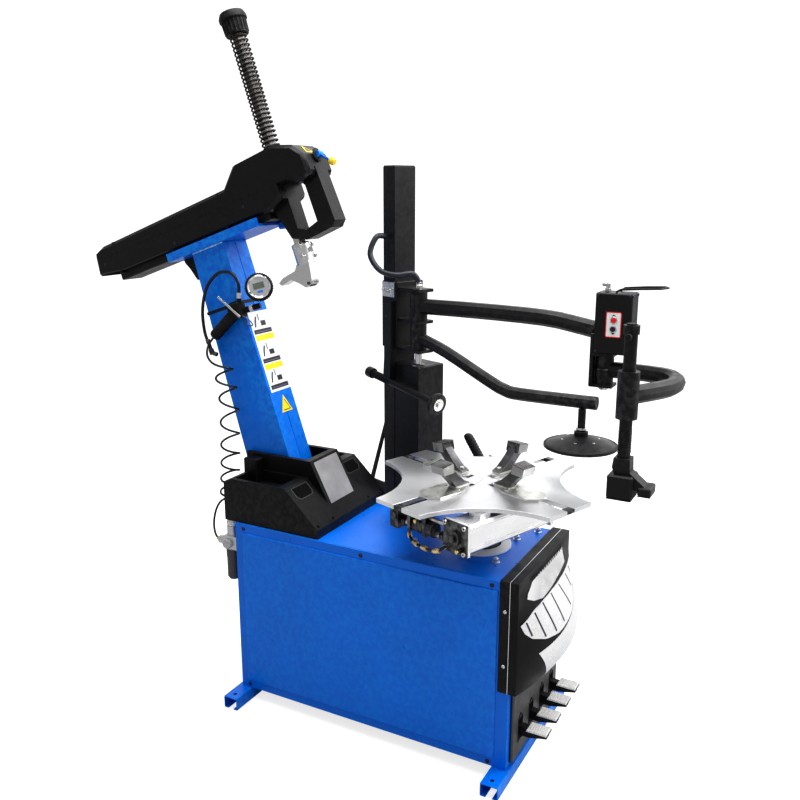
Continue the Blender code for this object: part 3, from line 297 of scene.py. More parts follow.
# ---------------------------------------------------------------- mesh building
class Part:
    """Closed solids gathered in one mesh, in a given frame."""

    def __init__(self, place=MACHINE):
        self.bm = bmesh.new()
        self.place = place

    def put(self, verts, matrix):
        bmesh.ops.transform(self.bm, matrix=self.place @ matrix, verts=verts)
        return self

    def box(self, lo, hi):
        lo, hi = Vector(lo), Vector(hi)
        verts = bmesh.ops.create_cube(self.bm, size=1.0)["verts"]
        return self.put(verts, Matrix.Translation((lo + hi) / 2) @ Matrix.Diagonal((*(hi - lo), 1)))

    def rod(self, start, end, radius, sides=20, tip=None):
        start, end = Vector(start), Vector(end)
        verts = bmesh.ops.create_cone(self.bm, cap_ends=True, segments=sides, radius1=radius,
                                      radius2=radius if tip is None else tip,
                                      depth=(end - start).length)["verts"]
        turn = UP.rotation_difference(end - start).to_matrix().to_4x4()
        return self.put(verts, Matrix.Translation((start + end) / 2) @ turn)

    def ball(self, at, radii, steps=16):
        verts = bmesh.ops.create_uvsphere(self.bm, u_segments=steps, v_segments=steps // 2,
                                          radius=1.0)["verts"]
        return self.put(verts, Matrix.Translation(at) @ Matrix.Diagonal((*radii, 1)))

    def lathe(self, profile, at, axis=(0, 0, 1), steps=32):
        """Turns (radius, height) round the axis: solid between two poles, or else a ring."""
        rings, angles = [], [2 * math.pi * i / steps for i in range(steps)]
        for radius, height in profile:
            if radius == 0.0:
                rings.append([self.bm.verts.new((0, 0, height))])
                continue
            rings.append([self.bm.verts.new((radius * math.cos(a), radius * math.sin(a),
                                             height)) for a in angles])
        pairs = list(zip(rings, rings[1:]))
        if profile[0][0] > 0.0:
            pairs.append((rings[-1], rings[0]))
        for one, two in pairs:
            for i in range(steps):
                j = (i + 1) % steps
                if len(one) == 1:
                    self.bm.faces.new((one[0], two[i], two[j]))
                elif len(two) == 1:
                    self.bm.faces.new((one[j], one[i], two[0]))
                else:
                    self.bm.faces.new((one[i], two[i], two[j], one[j]))
        turn = UP.rotation_difference(Vector(axis)).to_matrix().to_4x4()
        return self.put([v for ring in rings for v in ring], Matrix.Translation(at) @ turn)

    def slab(self, low, high):
        """A solid between two loops of as many points."""
        one, two = [self.bm.verts.new(p) for p in low], [self.bm.verts.new(p) for p in high]
        self.bm.faces.new(one)
        self.bm.faces.new(reversed(two))
        for i in range(len(one)):
            j = (i + 1) % len(one)
            self.bm.faces.new((one[i], two[i], two[j], one[j]))
        return self.put(one + two, Matrix())

    def prism(self, outline, lo, hi, plane="YZ"):
        """An outline in a plane, drawn out from lo to hi across it."""
        def at(a, b, c):
            return {"YZ": (c, a, b), "XZ": (a, c, b), "XY": (a, b, c)}[plane]
        return self.slab([at(a, b, lo) for a, b in outline], [at(a, b, hi) for a, b in outline])

    def tube(self, points, radius, sides=12):
        """A round tube along points, in the part's frame, with closed ends."""
        points = [Vector(p) for p in points]
        rings, normal = [], None
        for i, here in enumerate(points):
            ahead = (points[min(i + 1, len(points) - 1)] - points[max(i - 1, 0)]).normalized()
            if normal is None:
                normal = ahead.orthogonal().normalized()
            normal = (normal - ahead * normal.dot(ahead)).normalized()
            side = ahead.cross(normal)
            rings.append([self.bm.verts.new(here + (normal * math.cos(a) + side * math.sin(a)) * radius)
                          for a in [2 * math.pi * k / sides for k in range(sides)]])
        for one, two in zip(rings, rings[1:]):
            for k in range(sides):
                j = (k + 1) % sides
                self.bm.faces.new((one[k], one[j], two[j], two[k]))
        self.bm.faces.new(reversed(rings[0]))
        self.bm.faces.new(rings[-1])
        return self.put([v for ring in rings for v in ring], Matrix())

    def skin(self, rows, lift, depth):
        """A thin closed panel over a grid of points, from lift to lift + depth towards -Y."""
        outer = [[self.bm.verts.new(Vector(p) - Vector((0, lift + depth, 0))) for p in row] for row in rows]
        inner = [[self.bm.verts.new(Vector(p) - Vector((0, lift, 0))) for p in row] for row in rows]
        for grid, flip in ((outer, False), (inner, True)):
            for low, high in zip(grid, grid[1:]):
                for a, b, c, d in zip(low, low[1:], high[1:], high):
                    self.bm.faces.new((a, d, c, b) if flip else (a, b, c, d))
        rim_out = outer[0] + [r[-1] for r in outer[1:-1]] + outer[-1][::-1] + [r[0] for r in outer[-2:0:-1]]
        rim_in = inner[0] + [r[-1] for r in inner[1:-1]] + inner[-1][::-1] + [r[0] for r in inner[-2:0:-1]]
        for i in range(len(rim_out)):
            j = (i + 1) % len(rim_out)
            self.bm.faces.new((rim_out[i], rim_in[i], rim_in[j], rim_out[j]))
        return self.put([v for grid in (outer, inner) for row in grid for v in row], Matrix())

    def done(self, name, body, surface, slot=None, bevel=0.0, angle=40):
        bmesh.ops.recalc_face_normals(self.bm, faces=self.bm.faces)
        mesh = bpy.data.meshes.new(name)
        self.bm.to_mesh(mesh)
        self.bm.free()
        mesh.shade_smooth()
        mesh.set_sharp_from_angle(angle=math.radians(angle))
        obj = bpy.data.objects.new(name, mesh)
        bpy.context.scene.collection.objects.link(obj)
        obj.data.materials.append(surface)
        if bevel:
            soften(obj, bevel)
        if body:
            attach(obj, body)
        return obj


def soften(obj, width, segments=2, angle=35):
    """Rounds the sharp edges, and keeps the flat faces flat in the shading."""
    bevel = obj.modifiers.new("rounding", "BEVEL")
    bevel.width = width
    bevel.segments = segments
    bevel.limit_method = "ANGLE"
    bevel.angle_limit = math.radians(angle)
    bevel.use_clamp_overlap = True
    bevel.harden_normals = False
    obj.modifiers.new("normals", "WEIGHTED_NORMAL").keep_sharp = False


def finish_node(name, surface, width=0.0, segments=2, angle=35):
    """Gives a CAD node its material, smooth round faces, and slightly rounded edges."""
    obj = NODES[name]
    obj.data.materials.clear()
    obj.data.materials.append(surface)
    for polygon in obj.data.polygons:
        polygon.use_smooth = True
        polygon.material_index = 0
    weld = obj.modifiers.new("weld", "WELD")
    weld.merge_threshold = 0.00002
    if width:
        soften(obj, width, segments, angle)
    else:
        split = obj.modifiers.new("split", "EDGE_SPLIT")
        split.split_angle = math.radians(angle)


def curve(points, per_span=6):
    """Points on a Catmull-Rom curve through the given ones."""
    pts = [Vector(p) for p in points]
    ends = [pts[0] * 2 - pts[1]] + pts + [pts[-1] * 2 - pts[-2]]
    out = []
    for a, b, c, d in zip(ends, ends[1:], ends[2:], ends[3:]):
        for i in range(per_span):
            t = i / per_span
            out.append(0.5 * (2 * b + (c - a) * t + (2 * a - 5 * b + 4 * c - d) * t ** 2
                              + (3 * b - a - 3 * c + d) * t ** 3))
    return out + [pts[-1]]


def bridge(start, leaving, end, arriving, steps=16):
    """Points on a Hermite curve, whose end tangents are the two given vectors."""
    out = []
    for i in range(steps + 1):
        t = i / steps
        out.append(start * (2 * t ** 3 - 3 * t ** 2 + 1) + leaving * (t ** 3 - 2 * t ** 2 + t)
                   + end * (3 * t ** 2 - 2 * t ** 3) + arriving * (t ** 3 - t ** 2))
    return out


# ---------------------------------------------------------------- hoses
def hose(name, points, radius, place, surface, sides=12, **facts):
    """A hose along points, as a mesh tube. Returns the piece; the caller attaches it to a body or bakes it in
    place.
    """
    points = [Vector(p) for p in points]
    piece = Part(place).tube(points, radius, sides).done(name, None, surface, "rubber", angle=60)
    return piece


def coil_hose():
    """The inflator's coiled air line: from the regulator's port, up the coil, to the gun's grip."""
    axis = curve([(-0.112, 0.842, 1.104), (-0.106, 0.818, 0.980), (-0.104, 0.820, 0.820),
                  (-0.108, 0.824, 0.700),
                  (-0.118, 0.826, 0.612)], 30)
    turns, steps, radius = 8.5, 153, 0.0290
    helix = []
    for i in range(steps + 1):
        t = i / steps * (len(axis) - 1)
        low = axis[min(int(t), len(axis) - 2)]
        centre = low.lerp(axis[min(int(t), len(axis) - 2) + 1], t - min(int(t), len(axis) - 2))
        angle = 2 * math.pi * turns * i / steps
        helix.append(centre + Vector((math.cos(angle), math.sin(angle), 0)) * radius)
    first, last = 8, steps - 5
    lead = (helix[first + 1] - helix[first - 1]).normalized()
    follow = (helix[last] - helix[last - 1]).normalized()
    grip, port = Vector((-0.080, 0.8820, 1.1520)), Vector((-0.184, 0.8125, 0.522))
    top = bridge(grip, Vector((0, 0.111, -0.100)), helix[first], lead * 0.16)
    tail = bridge(helix[last], follow * 0.12, port, Vector((0, -0.12, 0)))
    piece = hose("coil_hose_line", top + helix[first + 1:last] + tail, 0.0035, MACHINE, HOSE, 10,
                 far_end="object",
                 stiffness="medium", lay="coiled")
    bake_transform(piece)
    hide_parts("coil_hose")


def whip_hose():
    points = curve([(-0.0826, -0.0208, 0.5225), (-0.083, -0.030, 0.555), (-0.083, -0.018, 0.590),
                    (-0.083, 0.030, 0.606), (-0.083, 0.090, 0.580), (-0.083, 0.135, 0.520),
                    (-0.083, 0.155, 0.450), (-0.083, 0.152, 0.400)], 6)
    chuck = Part(COLUMN).lathe([(0.0, 0.0), (0.0075, 0.0), (0.0075, 0.012), (0.0060, 0.014), (0.0060, 0.030),
                                (0.0085, 0.033), (0.0085, 0.050), (0.0, 0.050)],
                                points[-1] + Vector((0, 0.0015, 0.024)),
                               (0, -0.05, -1), 20)
    chuck.rod(points[-1] + Vector((0, 0.002, -0.018)), points[-1] + Vector((0, -0.018, -0.030)), 0.007, 16)
    chuck = chuck.done("whip_chuck", "tilt_column", DARK_STEEL, "chrome", bevel=0.0008)
    piece = hose("whip_hose_line", points, 0.0050, COLUMN, HOSE, 14, far_end="fitting", stiffness="stiff",
                 lay="hanging", with_pieces=[chuck])
    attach(piece, "tilt_column")
    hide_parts("whip_hose")


def assist_hoses():
    points = curve([(-0.0095, 0.150, 1.455), (-0.045, 0.152, 1.452), (-0.072, 0.150, 1.400),
                    (-0.066, 0.110, 1.352),
                    (-0.040, 0.062, 1.338), (0.000, 0.030, 1.342), (0.018, 0.021, 1.320),
                    (0.020, 0.020, 1.2958)], 6)
    piece = hose("assist_hose_line", points, 0.0090, ASSIST, ARM_HOSE, 14, far_end="object",
                 stiffness="stiff",
                 lay="loose")
    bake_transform(piece)
    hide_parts("assist_hose")


coil_hose()
whip_hose()
assist_hoses()


# ---------------------------------------------------------------- CAD nodes: finish and rounded edges
for names, surface, width in (
        ("cabinet_shell foot_front foot_rear column_post column_head_plate breaker_arm", BLUE, 0.0012),
        ("side_panel", BLUE, 0.0008),
        ("lock_valve_lever", BLUE, 0.0),
        ("tilt_hinge_bracket assist_lower_box assist_post assist_carriage control_box breaker_blade "
         "press_head reach_arm_tube", POWDER, 0.0012),
        ("breaker_cylinder tilt_cylinder bead_roller upper_arm curved_arm lower_arm helper_disc press_screw",
         POWDER, 0.0),
        ("pedal_1 pedal_2 pedal_3 pedal_4 inflator_gun", MOULD, 0.0012),
        ("column_tray_cover", MOULD, 0.0025),
        ("reach_arm_cover", COVER, 0.0045),
        ("front_cover", MOULD, 0.0020),
        ("pedal_plate", PEDAL_COVER, 0.0010),
        ("shaft_cap", MOULD, 0.0),
        ("turntable_plate", PLATE, 0.0010),
        ("clamp_jaw_1 clamp_jaw_2 clamp_jaw_3 clamp_jaw_4", JAW, 0.0012),
        ("tool_shaft", SHAFT, 0.0012),
        ("air_regulator", CAST, 0.0010),
        ("clamp_cylinder_left clamp_cylinder_right", ALLOY, 0.0010),
        ("inflator_trigger", ZINC, 0.0006),
        ("tilt_cylinder_rod tilt_hinge_pin breaker_rod", CHROME, 0.0),
        ("mount_head", CHROME, 0.0016),
        ("drive_belt inflator_gauge breaker_pad", RUBBER, 0.0),
        ("gearbox drive_motor turntable_hub", IRON, 0.0),
        ("button_press", BUTTON, 0.0010),
        ("button_lift", RED, 0.0010)):
    for name in names.split():
        finish_node(name, surface, width)


# ---------------------------------------------------------------- small helpers
def screws(name, body, surface, spots, axis, radius, height, place=MACHINE, slot=None):
    """Domed heads with a cross slot's shadow ring, one at each spot, rising along axis."""
    part = Part(place)
    for spot in spots:
        part.lathe([(0.0, 0.0), (radius, 0.0), (radius, height * 0.45), (radius * 0.72, height * 0.88),
                    (radius * 0.30, height), (radius * 0.24, height * 0.55), (0.0, height * 0.55)], spot,
                    axis, 18)
    return part.done(name, body, surface, slot, angle=50)


def hex_bolts(name, body, surface, spots, axis, across, height, place=MACHINE, washer=None, slot=None):
    """Hexagon heads on washers."""
    part = Part(place)
    axis = Vector(axis).normalized()
    washer = washer or across * 0.66
    for spot in spots:
        spot = Vector(spot)
        part.rod(spot, spot + axis * 0.0016, washer, 24)
        part.rod(spot + axis * 0.0014, spot + axis * height, across / 2, 6)
        part.rod(spot + axis * (height - 0.001), spot + axis * (height + 0.0035), across * 0.26, 14)
    return part.done(name, body, surface, slot, bevel=0.0004)


def both_sides(names, half, spots, radius, height, body="base", surface=INK, place=MACHINE,
               slot="black_paint"):
    """The same (y, z) screws on the left and the right face, half away from the middle."""
    for name, side in zip(names, (-1, 1)):
        screws(name, body, surface, [(side * half, y, z) for y, z in spots], (side, 0, 0), radius, height,
               place, slot)


# ---------------------------------------------------------------- cabinet
def cabinet():
    left, right = -0.2065, 0.2065
    rows = [(y, z) for z, ys in ((0.585, (-0.125, 0.280, 0.700)), (0.053, (-0.125, 0.700))) for y in ys]
    screws("side_screws_left", "base", INK, [(left - 0.0001, y, z) for y, z in rows], (-1, 0, 0), 0.0062,
           0.0035,
           slot="black_paint")
    screws("side_screws_right", "base", INK, [(right + 0.0001, y, z) for y, z in rows if y > 0 or z > 0.5],
           (1, 0, 0), 0.0062, 0.0035, slot="black_paint")
    hex_bolts("flange_bolts", "base", ZINC,
              [(x, y, 0.6001) for x,
               y in ((-0.084, 0.168), (-0.096, -0.091), (0.0835, -0.0835), (0.165, -0.1195),
                                           (0.096, 0.140))], (0, 0, 1), 0.017, 0.011, slot="chrome")
    Part().lathe([(0.062, 0.6002), (0.092, 0.6002), (0.092, 0.6075), (0.086, 0.6095), (0.064, 0.6095)],
                 (0, 0, 0), steps=48).done("gearbox_flange", "base", PAINT_WHITE, "cast_iron", bevel=0.0006)
    edge = Part()
    edge.box((left - 0.0002, -0.1795, 0.5955), (right, -0.1770, 0.6004))
    edge.done("cabinet_front_fold", "base", BLUE, "blue_paint", bevel=0.0006)


def cover_face(x, z):
    """The front cover's outer surface, as the frame has it."""
    half, bottom, top, face, swell = 0.2125, 0.280, 0.6060, -0.2025, COVER_SWELL
    down = min(1.0, max(0.0, (top - z) / (top - bottom)))
    fullness = 0.06 + 0.94 * math.sin(math.pi * 0.88 * down ** 1.35)
    across = math.cos(math.pi / 2 * x / half) ** 0.8 if abs(x) < half else 0.0
    return face - swell * fullness * across


def cover_patch(part, left, right, columns=20, rows=6, lift=0.0006, depth=0.0016):
    """A panel on the cover between two polylines of (x, z), low end first."""
    def along(line, t):
        t *= len(line) - 1
        i = min(int(t), len(line) - 2)
        return Vector(line[i]).lerp(Vector(line[i + 1]), t - i)
    grid = []
    for j in range(rows + 1):
        row = []
        for i in range(columns + 1):
            low, high = along(left, i / columns), along(right, i / columns)
            x, z = low.lerp(high, j / rows)
            row.append((x, cover_face(x, z), z))
        grid.append(row)
    return part.skin(grid, lift, depth)


def front_cover():
    seam = Part()
    seam.box((-0.2130, -0.1797, 0.6050), (0.2130, -0.1783, 0.6068))
    seam.box((-0.2131, -0.1797, 0.2800), (-0.2118, -0.1783, 0.6068))
    seam.box((0.2118, -0.1797, 0.2800), (0.2131, -0.1783, 0.6068))
    seam.done("cover_seam", "base", SILVER, "aluminium")
    label_low = [(-0.1745, 0.5504), (-0.1455, 0.5361), (-0.1041, 0.5290), (0.0039, 0.5423), (0.1064, 0.5509)]
    label_high = [(-0.1680, 0.5620), (-0.1335, 0.5838), (-0.080, 0.5890), (0.0200, 0.5915), (0.1151, 0.5896)]
    cover_patch(Part(), label_low, label_high, 30, 5).done("cover_label", "base", SILVER, "aluminium")
    ribs = Part()
    for i in range(16):
        x = -0.132 + 0.0155 * i
        cover_patch(ribs, [(x, 0.5865), (x + 0.0055, 0.5865)], [(x + 0.004, 0.5945), (x + 0.0095, 0.5945)], 2,
                    3,
                    lift=0.0018, depth=0.0012)
    ribs.done("cover_label_ribs", "base", MOULD, "black_plastic")
    band_low = [(-0.2049, 0.4830), (-0.1946, 0.4601), (-0.1750, 0.4411), (-0.1300, 0.4256), (-0.0797, 0.4247),
                (-0.0081, 0.4415), (0.0639, 0.4612), (0.1250, 0.4870), (0.1700, 0.5180)]
    band_high = [(-0.2049, 0.4860), (-0.1800, 0.5000), (-0.1543, 0.5135), (-0.1000, 0.5240),
                 (-0.0468, 0.5297),
                 (0.0200, 0.5330), (0.0979, 0.5340), (0.1400, 0.5350), (0.1750, 0.5360)]
    cover_patch(Part(), band_low, band_high, 36, 8).done("cover_band", "base", STIPPLE, "aluminium")
    slots = Part()
    for start, end in (((-0.1915, 0.4904), (-0.1771, 0.4484)), ((-0.1565, 0.5069), (-0.1336, 0.4320)),
                       ((-0.1135, 0.5190), (-0.0908, 0.4330)), ((-0.0607, 0.5250), (-0.0464, 0.4436)),
                       ((-0.0008, 0.5270), (0.0230, 0.4620)), ((0.0717, 0.5280), (0.0880, 0.4880)),
                       ((0.1250, 0.5290), (0.1330, 0.5080))):
        cover_patch(slots, [start, end],
                    [(start[0] + 0.0048, start[1] + 0.001), (end[0] + 0.0048, end[1] + 0.001)],
                    10, 2, lift=0.0022, depth=0.0005)
    slots.done("band_slots", "base", INK, "black_plastic")
    panel_low = [(-0.1547, 0.3900), (-0.0874, 0.2870), (0.0584, 0.3785), (0.1500, 0.4300)]
    panel_high = [(-0.1547, 0.3927), (-0.0600, 0.4220), (0.0249, 0.4477), (0.1500, 0.4800)]
    cover_patch(Part(), panel_low, panel_high, 30, 10).done("cover_lower_panel", "base", SILVER, "aluminium")
    both_sides(("cover_screws", "cover_screws_right"), 0.2127, [(-0.1660, z) for z in (0.520, 0.360)], 0.0055,
               0.003,
               surface=ZINC, slot="chrome")


def pedals():
    arches = Part()
    for x, _ in PEDALS:
        arches.prism([(x - 0.0165, 0.0960), (x - 0.0165, 0.1680), (x, 0.1830), (x + 0.0165, 0.1680),
                      (x + 0.0165, 0.0960), (x + 0.0140, 0.0960), (x + 0.0140, 0.1665), (x, 0.1790),
                      (x - 0.0140, 0.1665), (x - 0.0140, 0.0960)], -0.1925, -0.1900, "XZ")
    arches.done("pedal_slot_rims", "base", MOULD, "black_plastic", bevel=0.0004)
    for number, (x, body) in enumerate(PEDALS, 1):
        pad = Part()
        pad.box((x - 0.0245, -0.2742, 0.1437), (x + 0.0245, -0.2160, 0.1452))
        for i in range(9):
            y = -0.2720 + 0.0062 * i
            pad.box((x - 0.0225, y, 0.1450), (x + 0.0225, y + 0.0034, 0.1476))
        pad.done(f"pedal_pad_{number}", body, PEDAL_PAD, "rubber", bevel=0.0005)


def tray_details():
    """The rounded recesses at the head of each sloping side, and the holes in the front lip, drawn flat as
    near-black sheets and discs: painted shade.
    """
    slope = Vector((0, 0.545 - 0.430, 0.738 - 0.628)).normalized()
    out = Vector((0, -slope.z, slope.y))
    # dark gathers flat near-black sheets for the recesses and discs for the holes: painted shade.
    dark, rims = Part(), Part()
    for side in (-1, 1):
        near, far = sorted((side * 0.100, side * 0.176))
        top, low = 0.148, 0.108
        shape = [(near, top), (far, top), (far, low + 0.012), (far - 0.010, low), (near + 0.010, low),
                 (near, low + 0.012)]
        foot = Vector((0, 0.430, 0.628))
        for part, grow, lift in ((dark, 0.0, 0.0007), (rims, 0.003, 0.0003)):
            middle = Vector(((near + far) / 2, (top + low) / 2))
            ring = []
            for a, b in shape:
                away = (Vector((a, b)) - middle).normalized() * grow
                point = foot + slope * (b + away.y) + out * lift
                ring.append(Vector((a + away.x, point.y, point.z)))
            part.slab([p + out * 0.0006 for p in ring], ring)
        for x in (side * 0.185, side * 0.105):
            spot = foot + slope * 0.010 + out * 0.0004
            dark.rod(Vector((x, spot.y, spot.z)), Vector((x, spot.y, spot.z)) + out * 0.0008, 0.0045, 16)
    rims.done("tray_recess_rims", "base", PEDAL_COVER, "black_plastic")
    dark.done("tray_recess_painted_shade", "base", PAINTED_HOLE_SHADE, "black_plastic")
    floor = Part()
    for side in (-1, 1):
        near, far = sorted((side * 0.0905, side * 0.1845))
        for i in range(7):
            x = near + 0.0075 + i * (far - near - 0.015) / 6
            floor.box((x - 0.0012, 0.590, 0.7030), (x + 0.0012, 0.705, 0.7042))
    floor.done("tray_floor_ribs", "base", MOULD, "black_plastic")
    # A thin light grey sheet laid over the hump's black slope: painted highlight of the glare.
    foot, top = Vector((0, 0.447, 0.622)), Vector((0, 0.535, 0.790))
    line = (top - foot).normalized()
    normal = Vector((0, -line.z, line.y))
    a, b = foot + line * 0.010 + normal * 0.0004, top - line * 0.008 + normal * 0.0004
    ring = [(-0.066, a), (0.066, a), (0.064, b), (-0.064, b)]
    glare_sheet = Part().slab([(x, p.y + normal.y * 0.0012, p.z + normal.z * 0.0012) for x, p in ring],
                              [(x, p.y, p.z) for x, p in ring])
    glare_sheet.done("hump_painted_glare_sheet", "base", PAINTED_GLARE, "black_plastic", bevel=0.0005)


def regulator():
    x, y = -0.178, 0.766
    knob = Part().lathe([(0.0, 0.576), (0.0145, 0.576), (0.0165, 0.579), (0.0165, 0.592), (0.0145, 0.596),
                         (0.0, 0.596)],
                        (x, y, 0), steps=28)
    for i in range(14):
        a = 2 * math.pi * i / 14
        knob.rod((x + 0.0163 * math.cos(a), y + 0.0163 * math.sin(a), 0.580),
                 (x + 0.0163 * math.cos(a), y + 0.0163 * math.sin(a), 0.5915), 0.0013, 6)
    knob.done("regulator_knob", "base", PAINT_WHITE, "aluminium", angle=50)
    Part().lathe([(0.0, 0.398), (0.0165, 0.398), (0.0212, 0.406), (0.0212, 0.470), (0.0225, 0.474),
                  (0.0225, 0.497),
                  (0.0, 0.497)], (x, y, 0), steps=28).done("regulator_bowl", "base", PEDAL_COVER, "aluminium",
                  angle=50)
    dial = Part().lathe([(0.0, 0.0), (0.0145, 0.0), (0.0155, 0.002), (0.0155, 0.010), (0.0135, 0.0115),
                         (0.0125, 0.0095),
                         (0.0, 0.0095)], (x - 0.024, y, 0.522), (-1, 0, 0), 28)
    dial.done("regulator_dial", "base", SCREEN, "aluminium", angle=40)
    Part().rod((-0.184, 0.8110, 0.522), (-0.184, 0.8185, 0.522), 0.0068, 6).rod(
        (-0.184, 0.8180, 0.522), (-0.184, 0.8235, 0.522), 0.0050, 14).done("regulator_fitting", "base", BRASS,
        "aluminium",
                                                                          bevel=0.0003)


# ---------------------------------------------------------------- turntable
def turntable():
    turn = MACHINE @ Matrix.Rotation(CYL_HEADING, 4, "Z")
    cross = Part(MACHINE)
    for heading in (160, 250):
        cross.place = MACHINE @ Matrix.Rotation(math.radians(heading), 4, "Z")
        cross.box((-0.051, -0.0150, 0.7836), (0.051, 0.0150, 0.7880))
    cross.done("slot_cross", "turntable", DARK_STEEL, "cast_iron", bevel=0.0006)

    clips = Part(MACHINE)
    for heading, _ in JAWS:
        clips.place = MACHINE @ Matrix.Rotation(math.radians(heading), 4, "Z")
        clips.box((0.2990, -0.0148, 0.7840), (0.3185, 0.0148, 0.7948))
        clips.box((0.2960, -0.0060, 0.7835), (0.3185, 0.0060, 0.7900))
    clips.done("slot_stops", "turntable", DARK_STEEL, "cast_iron", bevel=0.0005)

    caps, bolts, bosses, brass, black, bright = (Part(turn) for _ in range(6))
    for side in (-1, 1):
        y = CYL_SIDE * side
        for end, out in ((-0.092 * side, -side), (0.248 * side, side)):
            plate = sorted((end, end + out * 0.0035))
            caps.box((plate[0], y - 0.0425, 0.6905), (plate[1], y + 0.0425, 0.7765))
            for dy in (-0.034, 0.034):
                for z in (0.6985, 0.7685):
                    bolts.rod((end + out * 0.003, y + dy, z), (end + out * 0.0085, y + dy, z), 0.0062, 16)
                    # A flat black hexagon on each screw head for its socket, with no depth: painted shade.
                    black.rod((end + out * 0.0080, y + dy, z), (end + out * 0.0089, y + dy, z), 0.0030, 6)
            bosses.rod((end + out * 0.003, y, 0.7335), (end + out * 0.012, y, 0.7335), 0.0200, 28)
            bosses.rod((end + out * 0.011, y, 0.7335), (end + out * 0.020, y, 0.7335), 0.0105, 6)
            black.rod((end + out * 0.003, y + 0.022 * side, 0.7060),
                      (end + out * 0.016, y + 0.022 * side, 0.7060), 0.0068, 16)
            brass.rod((end + out * 0.0155, y + 0.022 * side, 0.7060),
                      (end + out * 0.0215, y + 0.022 * side, 0.7060), 0.0058, 6)
        grooves = sorted((side * -0.080, side * 0.236))
        for z in (0.7050, 0.7100, 0.7620):
            bright.box((grooves[0], y + side * 0.0392, z), (grooves[1], y + side * 0.0402, z + 0.0016))
    front = -0.236
    for z, radius in ((0.7160, 0.0085), (0.7520, 0.0065)):
        bright.rod((front, -0.104, z), (front, 0.090, z), radius, 18)
    bosses.rod((front, -0.022, 0.7160), (front, 0.018, 0.7160), 0.0165, 24)
    bosses.rod((front - 0.006, -0.066, 0.7250), (front - 0.006, -0.040, 0.7250), 0.0200, 24)
    for y in (-0.0320, 0.0280, 0.0800):
        bosses.box((front - 0.018, y - 0.0060, 0.7000), (front + 0.018, y + 0.0060, 0.7825))
    for y in (-0.090, 0.060):
        bosses.rod((front, y - 0.007, 0.7160), (front, y + 0.007, 0.7160), 0.0140, 6)
    bosses.box((front - 0.020, 0.0700, 0.6950), (front + 0.030, 0.1020, 0.7600))
    bosses.rod((front - 0.024, 0.0860, 0.7300), (front - 0.016, 0.0860, 0.7300), 0.0120, 20)
    brass.rod((front - 0.020, -0.010, 0.7420), (front - 0.031, -0.010, 0.7420), 0.0060, 6)
    caps.done("cylinder_end_plates", "turntable", DARK_STEEL, "aluminium", bevel=0.0008)
    bolts.done("cylinder_screws", "turntable", ZINC, "chrome", bevel=0.0004)
    bosses.done("cylinder_bosses", "turntable", DARK_STEEL, "cast_iron", bevel=0.0006)
    brass.done("cylinder_fittings", "turntable", BRASS, "chrome", bevel=0.0004)
    # The ports are black rubber; the hexagons on the screws are painted shade.
    black.done("cylinder_ports_and_socket_shade", "turntable", RUBBER, "rubber", bevel=0.0003)
    bright.done("cylinder_shafts", "turntable", ZINC, "chrome", angle=50)
    air = curve([(-0.2620, -0.1240, 0.7060), (-0.2780, -0.1060, 0.6920), (-0.2740, -0.0560, 0.6830),
                 (-0.2620, 0.0000, 0.6810), (-0.2300, 0.0500, 0.6830), (-0.1750, 0.0880, 0.6860),
                 (-0.1200, 0.1180, 0.6980), (-0.0960, 0.1260, 0.7060)], 8)
    line = hose("turntable_air_line", air, 0.0042, turn, HOSE, 12, far_end="object", stiffness="stiff",
                lay="taut")
    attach(line, "turntable")
    unions = Part(turn)
    for i in (8, 16, 22, 30):
        a, b = air[i], air[i + 1]
        along = (b - a).normalized()
        unions.rod(a - along * 0.007, a + along * 0.007, 0.0072, 6)
        unions.rod(a - along * 0.012, a + along * 0.012, 0.0056, 14)
    unions.done("air_line_unions", "turntable", BRASS, "chrome", bevel=0.0004)


def jaw_details():
    for number, (heading, body) in enumerate(JAWS, 1):
        spin = MACHINE @ Matrix.Rotation(math.radians(heading), 4, "Z")
        teeth = Part(spin)
        for i in range(7):
            y = -0.0225 + 0.0075 * i
            teeth.prism([(0.1360, 0.8800), (0.1765, 0.8722), (0.1765, 0.8737), (0.1362, 0.8815)], y - 0.0022,
                        y + 0.0022, "XZ")
        teeth.prism([(0.1295, 0.8560), (0.1350, 0.8790), (0.1362, 0.8790), (0.1312, 0.8560)], -0.0225, 0.0225,
                    "XZ")
        teeth.done(f"jaw_teeth_{number}", body, DARK_STEEL, "brushed_steel", bevel=0.0004)
        screw = Part(spin)
        screw.rod((0.076, 0.0, 0.8110), (0.0755, 0.0, 0.8165), 0.0072, 6)
        for y in (-0.024, 0.024):
            screw.rod((0.118, y, 0.8012), (0.118, y, 0.8046), 0.0055, 16)
        screw.done(f"jaw_screws_{number}", body, ZINC, "chrome", bevel=0.0004)


# ---------------------------------------------------------------- tilting column
def strip(part, x0, x1, up0, up1, front, depth=0.0004):
    """A thin rectangle on the column's front face."""
    return part.box((x0, -front - depth, up0), (x1, -front, up1))


